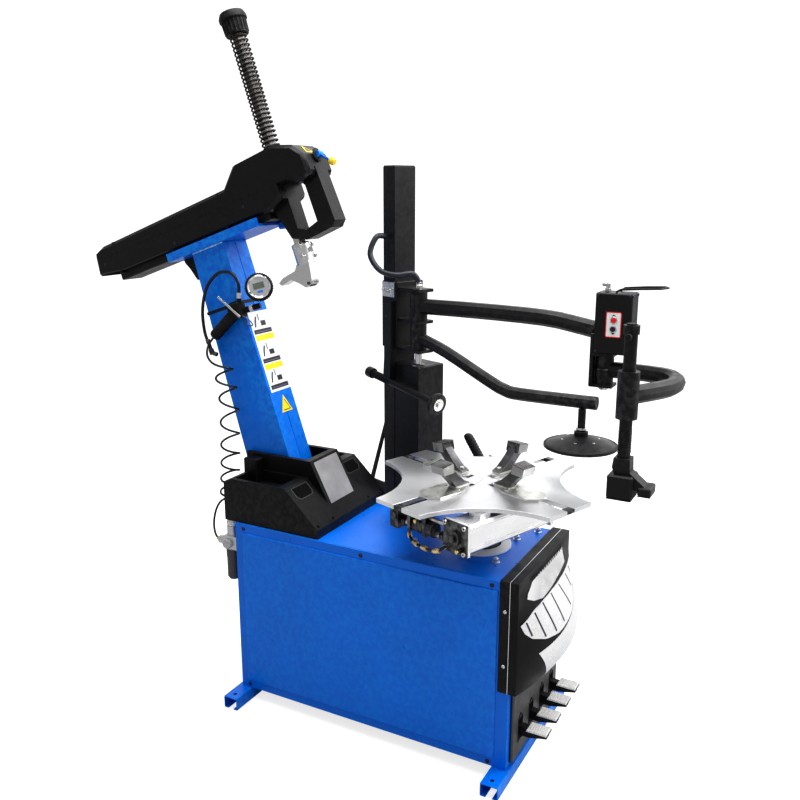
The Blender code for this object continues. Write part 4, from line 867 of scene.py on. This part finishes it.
def column():
    white, yellow, ink, grey = (Part(COLUMN) for _ in range(4))
    for x0, x1 in ((-0.0460, -0.0024), (0.0024, 0.0540)):
        strip(white, x0, x1, 0.206, 0.466, 0.0003)
    strip(white, -0.0030, 0.0030, 0.206, 0.466, 0.0003)
    for low, bar in ((0.206, None), (0.292, 0.282), (0.386, 0.376)):
        strip(ink, -0.0400, 0.0480, low + 0.008, low + 0.022, 0.0008, 0.0003)
        strip(grey, -0.0340, 0.0420, low + 0.0125, low + 0.0145, 0.0012, 0.0002)
        if bar:
            strip(yellow, -0.0410, 0.0500, bar - 0.004, bar + 0.014, 0.0008, 0.0003)
        base = low + 0.030
        ink.prism([(-0.030, base), (-0.024, base), (-0.016, base + 0.020), (-0.010, base + 0.032),
                   (-0.016, base + 0.034), (-0.024, base + 0.020)], -0.0011, -0.0008, "XZ")
        strip(ink, 0.004, 0.028, base + 0.002, base + 0.018, 0.0008, 0.0003)
        strip(grey, -0.004, 0.0005, base + 0.020, base + 0.040, 0.0008, 0.0003)
    for tip_x, tip, size in ((0.004, 0.191, 0.055), (0.0, 0.5565, 0.022)):
        yellow.prism([(tip_x - size * 0.5, tip - size), (tip_x + size * 0.5, tip - size), (tip_x, tip)],
                     -0.0011, -0.0004, "XZ")
        edge, rise = size * 0.36, size * 0.13
        ink.prism([(tip_x - edge, tip - size + rise * 0.7), (tip_x + edge, tip - size + rise * 0.7),
                   (tip_x, tip - rise * 1.8), (tip_x, tip - rise * 2.6),
                   (tip_x + edge * 0.80, tip - size + rise * 1.1),
                   (tip_x - edge * 0.80, tip - size + rise * 1.1)],
                  -0.0013, -0.0011, "XZ")
    white.done("column_label", "tilt_column", WHITE, "aluminium")
    yellow.done("column_label_bars", "tilt_column", YELLOW, "aluminium")
    ink.done("column_label_marks", "tilt_column", INK, "black_plastic")
    grey.done("column_label_lines", "tilt_column", GREY, "black_plastic")

    strap = Part(COLUMN)
    low, high = 0.497, 0.507
    strap.box((-0.0572, -0.0014, low), (0.0572, -0.0002, high))
    for inner, outer in ((-0.0574, -0.0562), (0.0562, 0.0574)):
        strap.box((inner, -0.0014, low), (outer, 0.146, high))
    strap.box((-0.0620, 0.020, 0.493), (-0.0562, 0.044, 0.511))
    strap.done("gun_strap", "tilt_column", RUBBER, "rubber", bevel=0.0004)

    # The beads' colour is painted highlight: the lit cyan look over the blue paint.
    weld = Part(COLUMN)
    for side in (-1, 1):
        for i in range(22):
            y = 0.006 + 0.0057 * i
            weld.ball((side * 0.0572, y, 0.6945 + 0.0006 * math.sin(i * 2.3)), (0.0030, 0.0042, 0.0030), 10)
    weld.done("head_weld", "tilt_column", WELD, "blue_paint", angle=80)

    hex_bolts("head_block_bolt", "tilt_column", ZINC, [(0.051, -0.183, 0.7032)], (0, 0, 1), 0.013, 0.006,
              COLUMN,
              slot="chrome")
    cross = Part(COLUMN)
    cross.rod((0.036, -0.188, 0.6900), (0.080, -0.188, 0.6900), 0.0050, 14)
    cross.rod((0.0335, -0.188, 0.6900), (0.0400, -0.188, 0.6900), 0.0085, 6)
    cross.rod((0.040, -0.196, 0.672), (0.040, -0.196, 0.682), 0.0060, 14)
    cross.done("head_block_screw", "tilt_column", ZINC, "chrome", bevel=0.0004)
    hook = Part(COLUMN)
    hook.prism([(0.140, 0.7000), (0.140, 0.6850), (0.154, 0.6620), (0.172, 0.6180), (0.181, 0.6200),
                (0.196, 0.6600),
                (0.210, 0.6850), (0.210, 0.7000)], -0.0140, 0.0140)
    hook.done("stop_hook", "tilt_column", MOULD, "black_paint", bevel=0.0015)


def inflator():
    axis = Vector((-0.80, -0.60, 0.0)).normalized()
    base = Vector((-0.030, -0.062, 0.528))
    side = Vector((axis.y, -axis.x, 0))
    ribs = Part(COLUMN)
    for i in range(36):
        a = 2 * math.pi * i / 36
        out = side * math.cos(a) + UP * math.sin(a)
        ribs.rod(base + out * 0.0415 + axis * 0.008, base + out * 0.0415 + axis * 0.027, 0.0024, 8)
    ribs.lathe([(0.0345, 0.0325), (0.0370, 0.0325), (0.0370, 0.0365), (0.0345, 0.0365)], base, axis, 48)
    ribs.done("gauge_boot_ribs", "tilt_column", RUBBER, "rubber", angle=50)
    Part(COLUMN).lathe([(0.0295, 0.0338), (0.0352, 0.0338), (0.0352, 0.0378), (0.0335, 0.0388),
                        (0.0295, 0.0362)],
                       base, axis, 48).done("gauge_rim", "tilt_column", CHROME, "chrome", angle=35)
    Part(COLUMN).lathe([(0.0, 0.0335), (0.0300, 0.0335), (0.0300, 0.0352), (0.0, 0.0356)], base, axis,
                       48).done(
        "gauge_dial", "tilt_column", SCREEN, "aluminium", angle=50)
    face = Matrix((side, UP, axis)).transposed().to_4x4()
    screen = Part(COLUMN @ Matrix.Translation(base) @ face)
    screen.box((-0.0170, -0.0060, 0.0352), (0.0170, 0.0130, 0.0360))
    screen.done("gauge_window", "tilt_column", LCD, "black_plastic", bevel=0.0003)
    keys = Part(COLUMN @ Matrix.Translation(base) @ face)
    keys.box((-0.0080, -0.0180, 0.0352), (0.0080, -0.0120, 0.0362))
    keys.done("gauge_key", "tilt_column", BLUE_KEY, "blue_paint", bevel=0.0003)

    grip = Part(COLUMN)
    start, end = Vector((-0.080, 0.034, 0.4668)), Vector((-0.080, 0.116, 0.4305))
    line = (end - start).normalized()
    for i in range(11):
        at = start + (end - start) * i / 10
        grip.rod(at - line * 0.0024, at + line * 0.0024, 0.0184, 20)
    grip.done("gun_grip_ribs", "tilt_column", RUBBER, "rubber", bevel=0.0006)
    fittings = Part(COLUMN)
    fittings.rod((-0.080, 0.1205, 0.4287), (-0.080, 0.1260, 0.4262), 0.0085, 6)
    fittings.rod((-0.0824, -0.0165, 0.5130), (-0.0826, -0.0225, 0.5285), 0.0078, 6)
    fittings.rod((-0.0640, -0.030, 0.4740), (-0.0600, -0.040, 0.4740), 0.0110, 6)
    fittings.done("gun_fittings", "tilt_column", ZINC, "chrome", bevel=0.0005)
    loop = curve([(-0.090, -0.010, 0.462), (-0.092, -0.034, 0.444), (-0.086, -0.040, 0.424),
                  (-0.078, -0.020, 0.424),
                  (-0.074, 0.002, 0.446), (-0.074, 0.006, 0.462)], 5)
    Part(COLUMN).tube(loop, 0.0018, 8).done("gun_hook", "tilt_column", DARK_STEEL, "chrome")


# ---------------------------------------------------------------- sliding arm and tool shaft
def shaft_spring():
    turns, per_turn, radius = 26, 20, 0.0247
    low, high = 0.8990, 1.2420
    points = []
    for i in range(turns * per_turn + 1):
        t = i / (turns * per_turn)
        ease = t + 0.012 * math.sin(2 * math.pi * t)
        a = 2 * math.pi * turns * t
        points.append(Vector((radius * math.cos(a), SHAFT_Y + radius * math.sin(a),
                              low + (high - low) * ease)))
    piece = Part(COLUMN).tube(points, 0.0029, 8).done("spring_coil", "reach_arm", SPRING, "brushed_steel",
                                                      angle=70)
    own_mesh(piece)
    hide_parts("shaft_spring")


def shaft_parts():
    cap = Part(COLUMN)
    for i in range(20):
        a = 2 * math.pi * i / 20
        x, y = 0.0355 * math.cos(a), SHAFT_Y + 0.0355 * math.sin(a)
        cap.rod((x * 0.955, SHAFT_Y + (y - SHAFT_Y) * 0.955, 1.249), (x, y, 1.2835), 0.0026, 8)
    cap.done("cap_ribs", "tool_post", MOULD, "black_plastic", angle=50)

    clamp = Part(COLUMN)
    clamp.lathe([(0.0215, 0.6004), (0.0285, 0.6004), (0.0285, 0.6120), (0.0265, 0.6140), (0.0215, 0.6140)],
                (0, SHAFT_Y, 0), steps=28)
    for z in (0.572, 0.606):
        clamp.rod((-0.034, SHAFT_Y - 0.014, z), (0.036, SHAFT_Y - 0.014, z), 0.0052, 16)
        clamp.rod((0.029, SHAFT_Y - 0.014, z), (0.036, SHAFT_Y - 0.014, z), 0.0088, 6)
        clamp.rod((-0.036, SHAFT_Y - 0.014, z), (-0.030, SHAFT_Y - 0.014, z), 0.0078, 18)
    clamp.done("head_clamp", "tool_post", CHROME, "chrome", bevel=0.0006)
    roller = Part(COLUMN)
    roller.rod((-0.012, -0.2360, 0.4920), (0.012, -0.2360, 0.4920), 0.0105, 22)
    roller.rod((-0.022, -0.2360, 0.4920), (0.022, -0.2360, 0.4920), 0.0048, 14)
    roller.done("head_roller", "tool_post", DARK_STEEL, "chrome", bevel=0.0006)


def arm_details():
    a, b = Vector((0, -0.3400, 0.8760)), Vector((0, -0.3750, 0.8380))
    line = (b - a).normalized()
    normal = Vector((0, line.z, -line.y))
    right = line.cross(normal)
    frame_at = Matrix((right, line, normal)).transposed().to_4x4()
    spot = COLUMN @ Matrix.Translation((a + b) / 2 + Vector((-0.012, 0, 0)) + normal * 0.0004) @ frame_at
    for name, surface, slot, size, lift in (("nose_label", YELLOW, "aluminium", 0.046, 0.0),
                                            ("nose_label_mark", INK, "black_plastic", 0.027, 0.0004)):
        triangle = [(-size / 2, size * 0.40), (size / 2, size * 0.40), (0.0, -size * 0.46)]
        Part(spot).prism(triangle, lift, lift + 0.0004, "XY").done(name, "reach_arm", surface, slot)
    socket = Part(COLUMN)
    pivot = Vector((0.0, -0.3835, 0.834))
    socket.lathe([(0.0, 0.0), (0.0205, 0.0), (0.0205, 0.0028), (0.0150, 0.0052), (0.0, 0.0052)],
                 pivot + Vector((0, 0.0035, 0)),
                 (0, -1, 0.05), 28)
    socket.done("lever_socket", "reach_arm", RUBBER, "rubber", angle=45)
    knob = Part(COLUMN)
    tip = Vector((0, -0.3875 - 0.030, 0.834 - 0.0285))
    away = Vector((0, -0.72, -0.69)).normalized()
    knob.lathe([(0.0, -0.001), (0.0085, -0.001), (0.0112, 0.003), (0.0112, 0.013), (0.0085, 0.0175),
                (0.0, 0.0185)], tip, away, 24)
    knob.done("lever_knob", "lock_lever", YELLOW_KNOB, "blue_paint", angle=45)
    seam = Part(COLUMN)
    for side in (-1, 1):
        seam.box((side * 0.0654 - 0.0004, -0.190, 0.7900), (side * 0.0654 + 0.0004, 0.520, 0.7908))
    seam.done("arm_cover_seam", "reach_arm", MOULD, "black_plastic")
    both_sides(("arm_cover_screws", "arm_cover_screws_right"), 0.0652,
               ((0.500, 0.770), (0.180, 0.745), (-0.120, 0.765)), 0.0050, 0.002, "reach_arm", place=COLUMN)
    collar = Part(COLUMN)
    collar.lathe([(0.0225, 0.8930), (0.0330, 0.8930), (0.0330, 0.8962), (0.0225, 0.8962)], (0, SHAFT_Y, 0),
                 steps=32)
    collar.done("shaft_collar", "reach_arm", DARK_STEEL, "cast_iron", bevel=0.0005)


# ---------------------------------------------------------------- helper column, arms and press
def carriage():
    hex_bolts("carriage_plate_bolts", "carriage", ZINC,
              [(-0.0121, 0.128, z) for z in (1.130, 1.200, 1.280)], (-1, 0, 0), 0.014, 0.008, ASSIST,
              slot="chrome")
    plate = Part(ASSIST)
    plate.box((-0.0150, 0.100, 1.262), (-0.0122, 0.160, 1.309))
    plate.done("carriage_plate", "carriage", ZINC, "brushed_steel", bevel=0.0006)
    hex_bolts("carriage_front_bolts", "carriage", ZINC,
              [(-0.0152, y, 1.2855) for y in (0.112, 0.148)], (-1, 0, 0), 0.013, 0.007, ASSIST, slot="chrome")
    x, y = PIVOT
    swivel = Part(ASSIST)
    swivel.lathe([(0.0, 1.2952), (0.0120, 1.2952), (0.0120, 1.3060), (0.0100, 1.3080), (0.0100, 1.3160),
                  (0.0, 1.3160)],
                 (x, y, 0), steps=6)
    swivel.done("pivot_swivel", "carriage", ZINC, "chrome", bevel=0.0005)
    lift = Part(ASSIST)
    lift.rod((x, y, 1.0458), (x, y, 1.0898), 0.0110, 24)
    lift.done("lift_rod", "carriage", CHROME, "chrome")
    cap = Part(ASSIST)
    cap.box((0.002, ASSIST_WALL + 0.002, 1.6721), (0.088, ASSIST_WALL + 0.055, 1.6745))
    cap.done("post_cap", "base", MOULD, "black_plastic", bevel=0.0008)
    gland = Part(ASSIST)
    gland.lathe([(0.0125, 1.0452), (0.0215, 1.0452), (0.0215, 1.0510), (0.0190, 1.0525), (0.0125, 1.0525)],
                (x, y, 0), steps=28)
    gland.done("rod_gland", "base", DARK_STEEL, "cast_iron", angle=45)
    hex_bolts("helper_base_bolts", "base", ZINC, [(-0.0001, 0.030, z) for z in (0.470, 0.560)], (-1, 0, 0),
              0.014, 0.008,
              ASSIST, slot="chrome")
    hub = Part(ASSIST)
    start, end = Vector((-0.026, 0.200, 0.9990)), Vector((-0.026, -0.110, 0.9515))
    along = (end - start).normalized()
    hub.rod(end + along * 0.0142, end + along * 0.0180, 0.0200, 24)
    hub.rod(end + along * 0.0175, end + along * 0.0250, 0.0105, 6)
    hub.done("roller_nut", "carriage", ZINC, "chrome", bevel=0.0005)
    grip = Part(ASSIST)
    for i in range(15):
        at = start + along * (0.0060 + 0.0058 * i)
        grip.rod(at, at + along * 0.0036, 0.0133, 20)
    grip.done("roller_bar_grip", "carriage", RUBBER, "rubber", bevel=0.0004)


def upper_arm_details():
    x, y, z = 0.2150, -0.2975, 1.2345
    Part().box((x - 0.0005, y - 0.022, z - 0.036), (x - 0.0001, y + 0.022, z + 0.036)).done(
        "control_label", "helper_upper_arm", WHITE, "aluminium")
    border = Part()
    for lo, hi in (((-0.022, -0.036), (0.022, -0.0335)), ((-0.022, 0.0335), (0.022, 0.036)),
                   ((-0.022, -0.036), (-0.0195, 0.036)), ((0.0195, -0.036), (0.022, 0.036))):
        border.box((x - 0.0009, y + lo[0], z + lo[1]), (x - 0.0004, y + hi[0], z + hi[1]))
    border.done("control_label_border", "helper_upper_arm", RED, "red_button")
    marks = Part()
    for outline in ([(y - 0.006, z + 0.024), (y + 0.006, z + 0.024), (y, z + 0.029)],
                    [(y - 0.006, z - 0.023), (y, z - 0.028), (y + 0.006, z - 0.023)]):
        marks.prism(outline, x - 0.0009, x - 0.0004)
    marks.done("control_marks", "helper_upper_arm", INK, "black_plastic")
    rings = Part()
    for spot in BUTTONS:
        rings.lathe([(0.0082, 0.0), (0.0105, 0.0), (0.0105, 0.0016), (0.0094, 0.0026), (0.0082, 0.0026)],
                    (x, spot[0], spot[1]), (-1, 0, 0), 24)
    rings.done("button_rings", "helper_upper_arm", CHROME, "chrome", angle=50)
    screws("control_screws", "helper_upper_arm", INK,
           [(x, sy, sz) for sy in (-0.340, -0.250) for sz in (1.156, 1.315)], (-1, 0, 0), 0.0042, 0.0022,
           slot="black_paint")
    screws("control_front_screws", "helper_upper_arm", INK,
           [(sx, -0.347, sz) for sx in (0.221, 0.279) for sz in (1.156, 1.315)], (0, -1, 0), 0.0042, 0.0022,
           slot="black_paint")
    foot = Vector((0.250, -0.268, 1.3222))
    elbow = Part()
    elbow.rod(foot, foot + UP * 0.010, 0.0090, 6)
    elbow.rod(foot + UP * 0.009, foot + UP * 0.020, 0.0062, 18)
    elbow.ball(foot + UP * 0.021, (0.0068, 0.0068, 0.0068), 16)
    elbow.rod(foot + UP * 0.021, foot + UP * 0.021 + Vector((0, 0.016, 0)), 0.0060, 18)
    elbow.done("control_fitting", "helper_upper_arm", ZINC, "chrome", bevel=0.0004)
    pivot = ASSIST_CORNER + Matrix.Rotation(ASSIST_TURN, 3, "Z") @ Vector((*PIVOT, 0))
    top = Part()
    top.lathe([(0.0125, 1.2846), (0.0265, 1.2846), (0.0285, 1.2866), (0.0285, 1.2890), (0.0265, 1.2912),
               (0.0125, 1.2912)],
              pivot, steps=32)
    top.done("pivot_flange", "helper_upper_arm", MOULD, "black_paint", angle=45)
    nut = Part()
    nut.rod((ELBOW.x, ELBOW.y, 1.0460), (ELBOW.x, ELBOW.y, 1.0402), 0.0135, 6)
    nut.rod((ELBOW.x, ELBOW.y, 1.0495), (ELBOW.x, ELBOW.y, 1.0455), 0.0180, 24)
    nut.done("elbow_nut", "helper_upper_arm", ZINC, "chrome", bevel=0.0006)
    seam = Part()
    seam.lathe([(0.0262, 1.1005), (0.0276, 1.1005), (0.0276, 1.1045), (0.0262, 1.1045)],
               (ELBOW.x, ELBOW.y, 0), steps=32)
    seam.done("elbow_ring", "helper_curved_arm", DARK_STEEL, "cast_iron", angle=50)


def press_details():
    x, y = PRESS.x, PRESS.y
    thread = Part()
    turns, steps = 13, 22
    for bottom, radius in ((1.1740, 0.0151), (0.9610, 0.0160)):
        points = []
        for i in range(turns * steps + 1):
            a = 2 * math.pi * i / steps
            points.append((x + radius * math.cos(a), y + radius * math.sin(a), bottom + 0.0048 * i / steps))
        thread.tube(points, 0.0011, 6)
    thread.done("press_thread", "press", MOULD, "black_paint", angle=70)
    pads = Part()
    pads.box((x - 0.0330, y - 0.0310, 0.8440), (x + 0.0330, y + 0.0310, 0.8475))
    pads.box((x - 0.0290, y - 0.0770, 0.8605), (x + 0.0290, y - 0.0460, 0.8630))
    for i in range(6):
        gx = x - 0.0290 + 0.0104 * i
        pads.box((gx, y - 0.0332, 0.8500), (gx + 0.0056, y - 0.0316, 0.9040))
    pads.done("press_rubber", "press", RUBBER, "rubber", bevel=0.0005)
    knobs = Part()
    for side in (-1, 1):
        knobs.rod((x + side * 0.0215, y, 1.258), (x + side * 0.0330, y, 1.258), 0.0078, 20)
    knobs.rod((x, y, 1.2835), (x, y, 1.2880), 0.0135, 6)
    knobs.done("press_handle_knobs", "press", RUBBER, "rubber", bevel=0.0010)


def disc_details():
    hub = Part()
    hub.rod((DISC.x, DISC.y, 0.9400), (DISC.x, DISC.y, 0.9455), 0.0150, 24)
    hub.rod((DISC.x, DISC.y, 0.8895), (DISC.x, DISC.y, 0.8810), 0.0125, 6)
    hub.done("disc_nut", "disc", ZINC, "chrome", bevel=0.0005)
    rim = Part()
    rim.lathe([(0.0985, 0.8890), (0.1040, 0.8890), (0.1046, 0.8930), (0.1040, 0.8972), (0.0985, 0.8990)],
              (DISC.x, DISC.y, 0), steps=64)
    rim.done("disc_rim", "disc", RUBBER, "rubber", angle=50)
    rivets = Part()
    for a in range(0, 360, 60):
        spot = DISC + Vector((math.cos(math.radians(a)), math.sin(math.radians(a)), 0)) * 0.052
        rivets.rod(spot + UP * 0.9090, spot + UP * 0.9125, 0.0042, 14)
    rivets.done("disc_rivets", "disc", ZINC, "chrome", bevel=0.0003)


def breaker_details():
    x, y = BREAKER_HINGE
    nuts = Part()
    nuts.rod((x, y, 0.3348), (x, y, 0.3380), 0.0170, 24)
    nuts.rod((x, y, 0.3375), (x, y, 0.3460), 0.0120, 6)
    nuts.done("breaker_hinge_nut", "breaker_lever", ZINC, "chrome", bevel=0.0005)
    pin = Part()
    pin.rod((x, -0.025, 0.3300), (x, -0.025, 0.3352), 0.0120, 6)
    pin.rod((x, -0.025, 0.2500), (x, -0.025, 0.2450), 0.0120, 6)
    pin.done("breaker_shoe_bolt", "breaker_lever", ZINC, "chrome", bevel=0.0005)
    top, low = Vector((x + 0.090, 0.187, 0.810)), Vector((x + 0.070, 0.105, 0.700))
    line = (top - low).normalized()
    grip = Part()
    grip.rod(top - line * 0.100, top + line * 0.004, 0.0148, 24)
    for i in range(9):
        at = top - line * (0.010 + 0.0100 * i)
        grip.rod(at - line * 0.0020, at + line * 0.0020, 0.0160, 24)
    grip.ball(top + line * 0.004, (0.0148, 0.0148, 0.0110), 20)
    grip.done("breaker_handle_grip", "breaker_lever", RUBBER, "rubber", bevel=0.0006)


carriage()
upper_arm_details()
press_details()
disc_details()
breaker_details()
cabinet()
front_cover()
pedals()
tray_details()
regulator()
turntable()
jaw_details()
column()
inflator()
shaft_spring()
shaft_parts()
arm_details()


# ---------------------------------------------------------------- light and floor
def world():
    """Soft white surroundings, brightest to the machine's right, where the tops and fronts mirror it."""
    sky = bpy.data.worlds.new("studio")
    bpy.context.scene.world = sky
    sky.use_nodes = True
    nodes, links = sky.node_tree.nodes, sky.node_tree.links
    ray = nodes.new("ShaderNodeTexCoord").outputs["Generated"]
    dot = nodes.new("ShaderNodeVectorMath")
    dot.operation = "DOT_PRODUCT"
    dot.inputs[1].default_value = Vector((0.86, -0.35, 0.30)).normalized()
    links.new(ray, dot.inputs[0])
    ramp = nodes.new("ShaderNodeMapRange")
    ramp.interpolation_type = "SMOOTHSTEP"
    for socket, value in (("From Min", 0.1), ("From Max", 0.95), ("To Min", 0.44), ("To Max", 1.35)):
        ramp.inputs[socket].default_value = value
    links.new(dot.outputs["Value"], ramp.inputs["Value"])
    seen = nodes.new("ShaderNodeMix")
    seen.inputs["B"].default_value = 1.0
    links.new(nodes.new("ShaderNodeLightPath").outputs["Is Camera Ray"], seen.inputs["Factor"])
    links.new(ramp.outputs["Result"], seen.inputs["A"])
    links.new(seen.outputs["Result"], nodes["Background"].inputs["Strength"])
    nodes["Background"].inputs["Color"].default_value = (1.0, 1.0, 1.0, 1.0)


def lamp(name, at, aim, size, power):
    data = bpy.data.lights.new(name, "AREA")
    data.shape = "SQUARE"
    data.size, data.energy = size, power
    obj = bpy.data.objects.new(name, data)
    bpy.context.scene.collection.objects.link(obj)
    obj.location = at
    obj.rotation_euler = (Vector(aim) - Vector(at)).to_track_quat("-Z", "Y").to_euler()


def floor():
    mesh = bpy.data.meshes.new("studio_floor")
    size = 60.0
    mesh.from_pydata([(-size, -size, 0), (size, -size, 0), (size, size, 0), (-size, size, 0)], [],
                     [(0, 1, 2, 3)])
    obj = bpy.data.objects.new("studio_floor", mesh)
    bpy.context.scene.collection.objects.link(obj)
    pale = plain("pale_floor", (0.50, 0.50, 0.50), 0.9, vary=0.005, grain=20, depth=0.0, specular=0.1)
    shader = pale.node_tree.nodes["Principled BSDF"]
    shader.inputs["Emission Color"].default_value = (1.0, 1.0, 1.0, 1.0)
    glow = pale.node_tree.nodes.new("ShaderNodeMath")
    glow.operation = "MULTIPLY"
    glow.inputs[1].default_value = 0.62
    pale.node_tree.links.new(pale.node_tree.nodes.new("ShaderNodeLightPath").outputs["Is Camera Ray"],
                             glow.inputs[0])
    pale.node_tree.links.new(glow.outputs["Value"], shader.inputs["Emission Strength"])
    mesh.materials.append(pale)


world()
lamp("key", (1.9, -3.0, 3.4), (0, 0, 0.8), 2.2, 105)
lamp("top", (-0.2, -0.4, 4.4), (0, 0, 0.9), 2.8, 135)
floor()
bpy.context.scene.view_settings.view_transform = "Standard"
bpy.context.scene.view_settings.look = "Medium High Contrast"
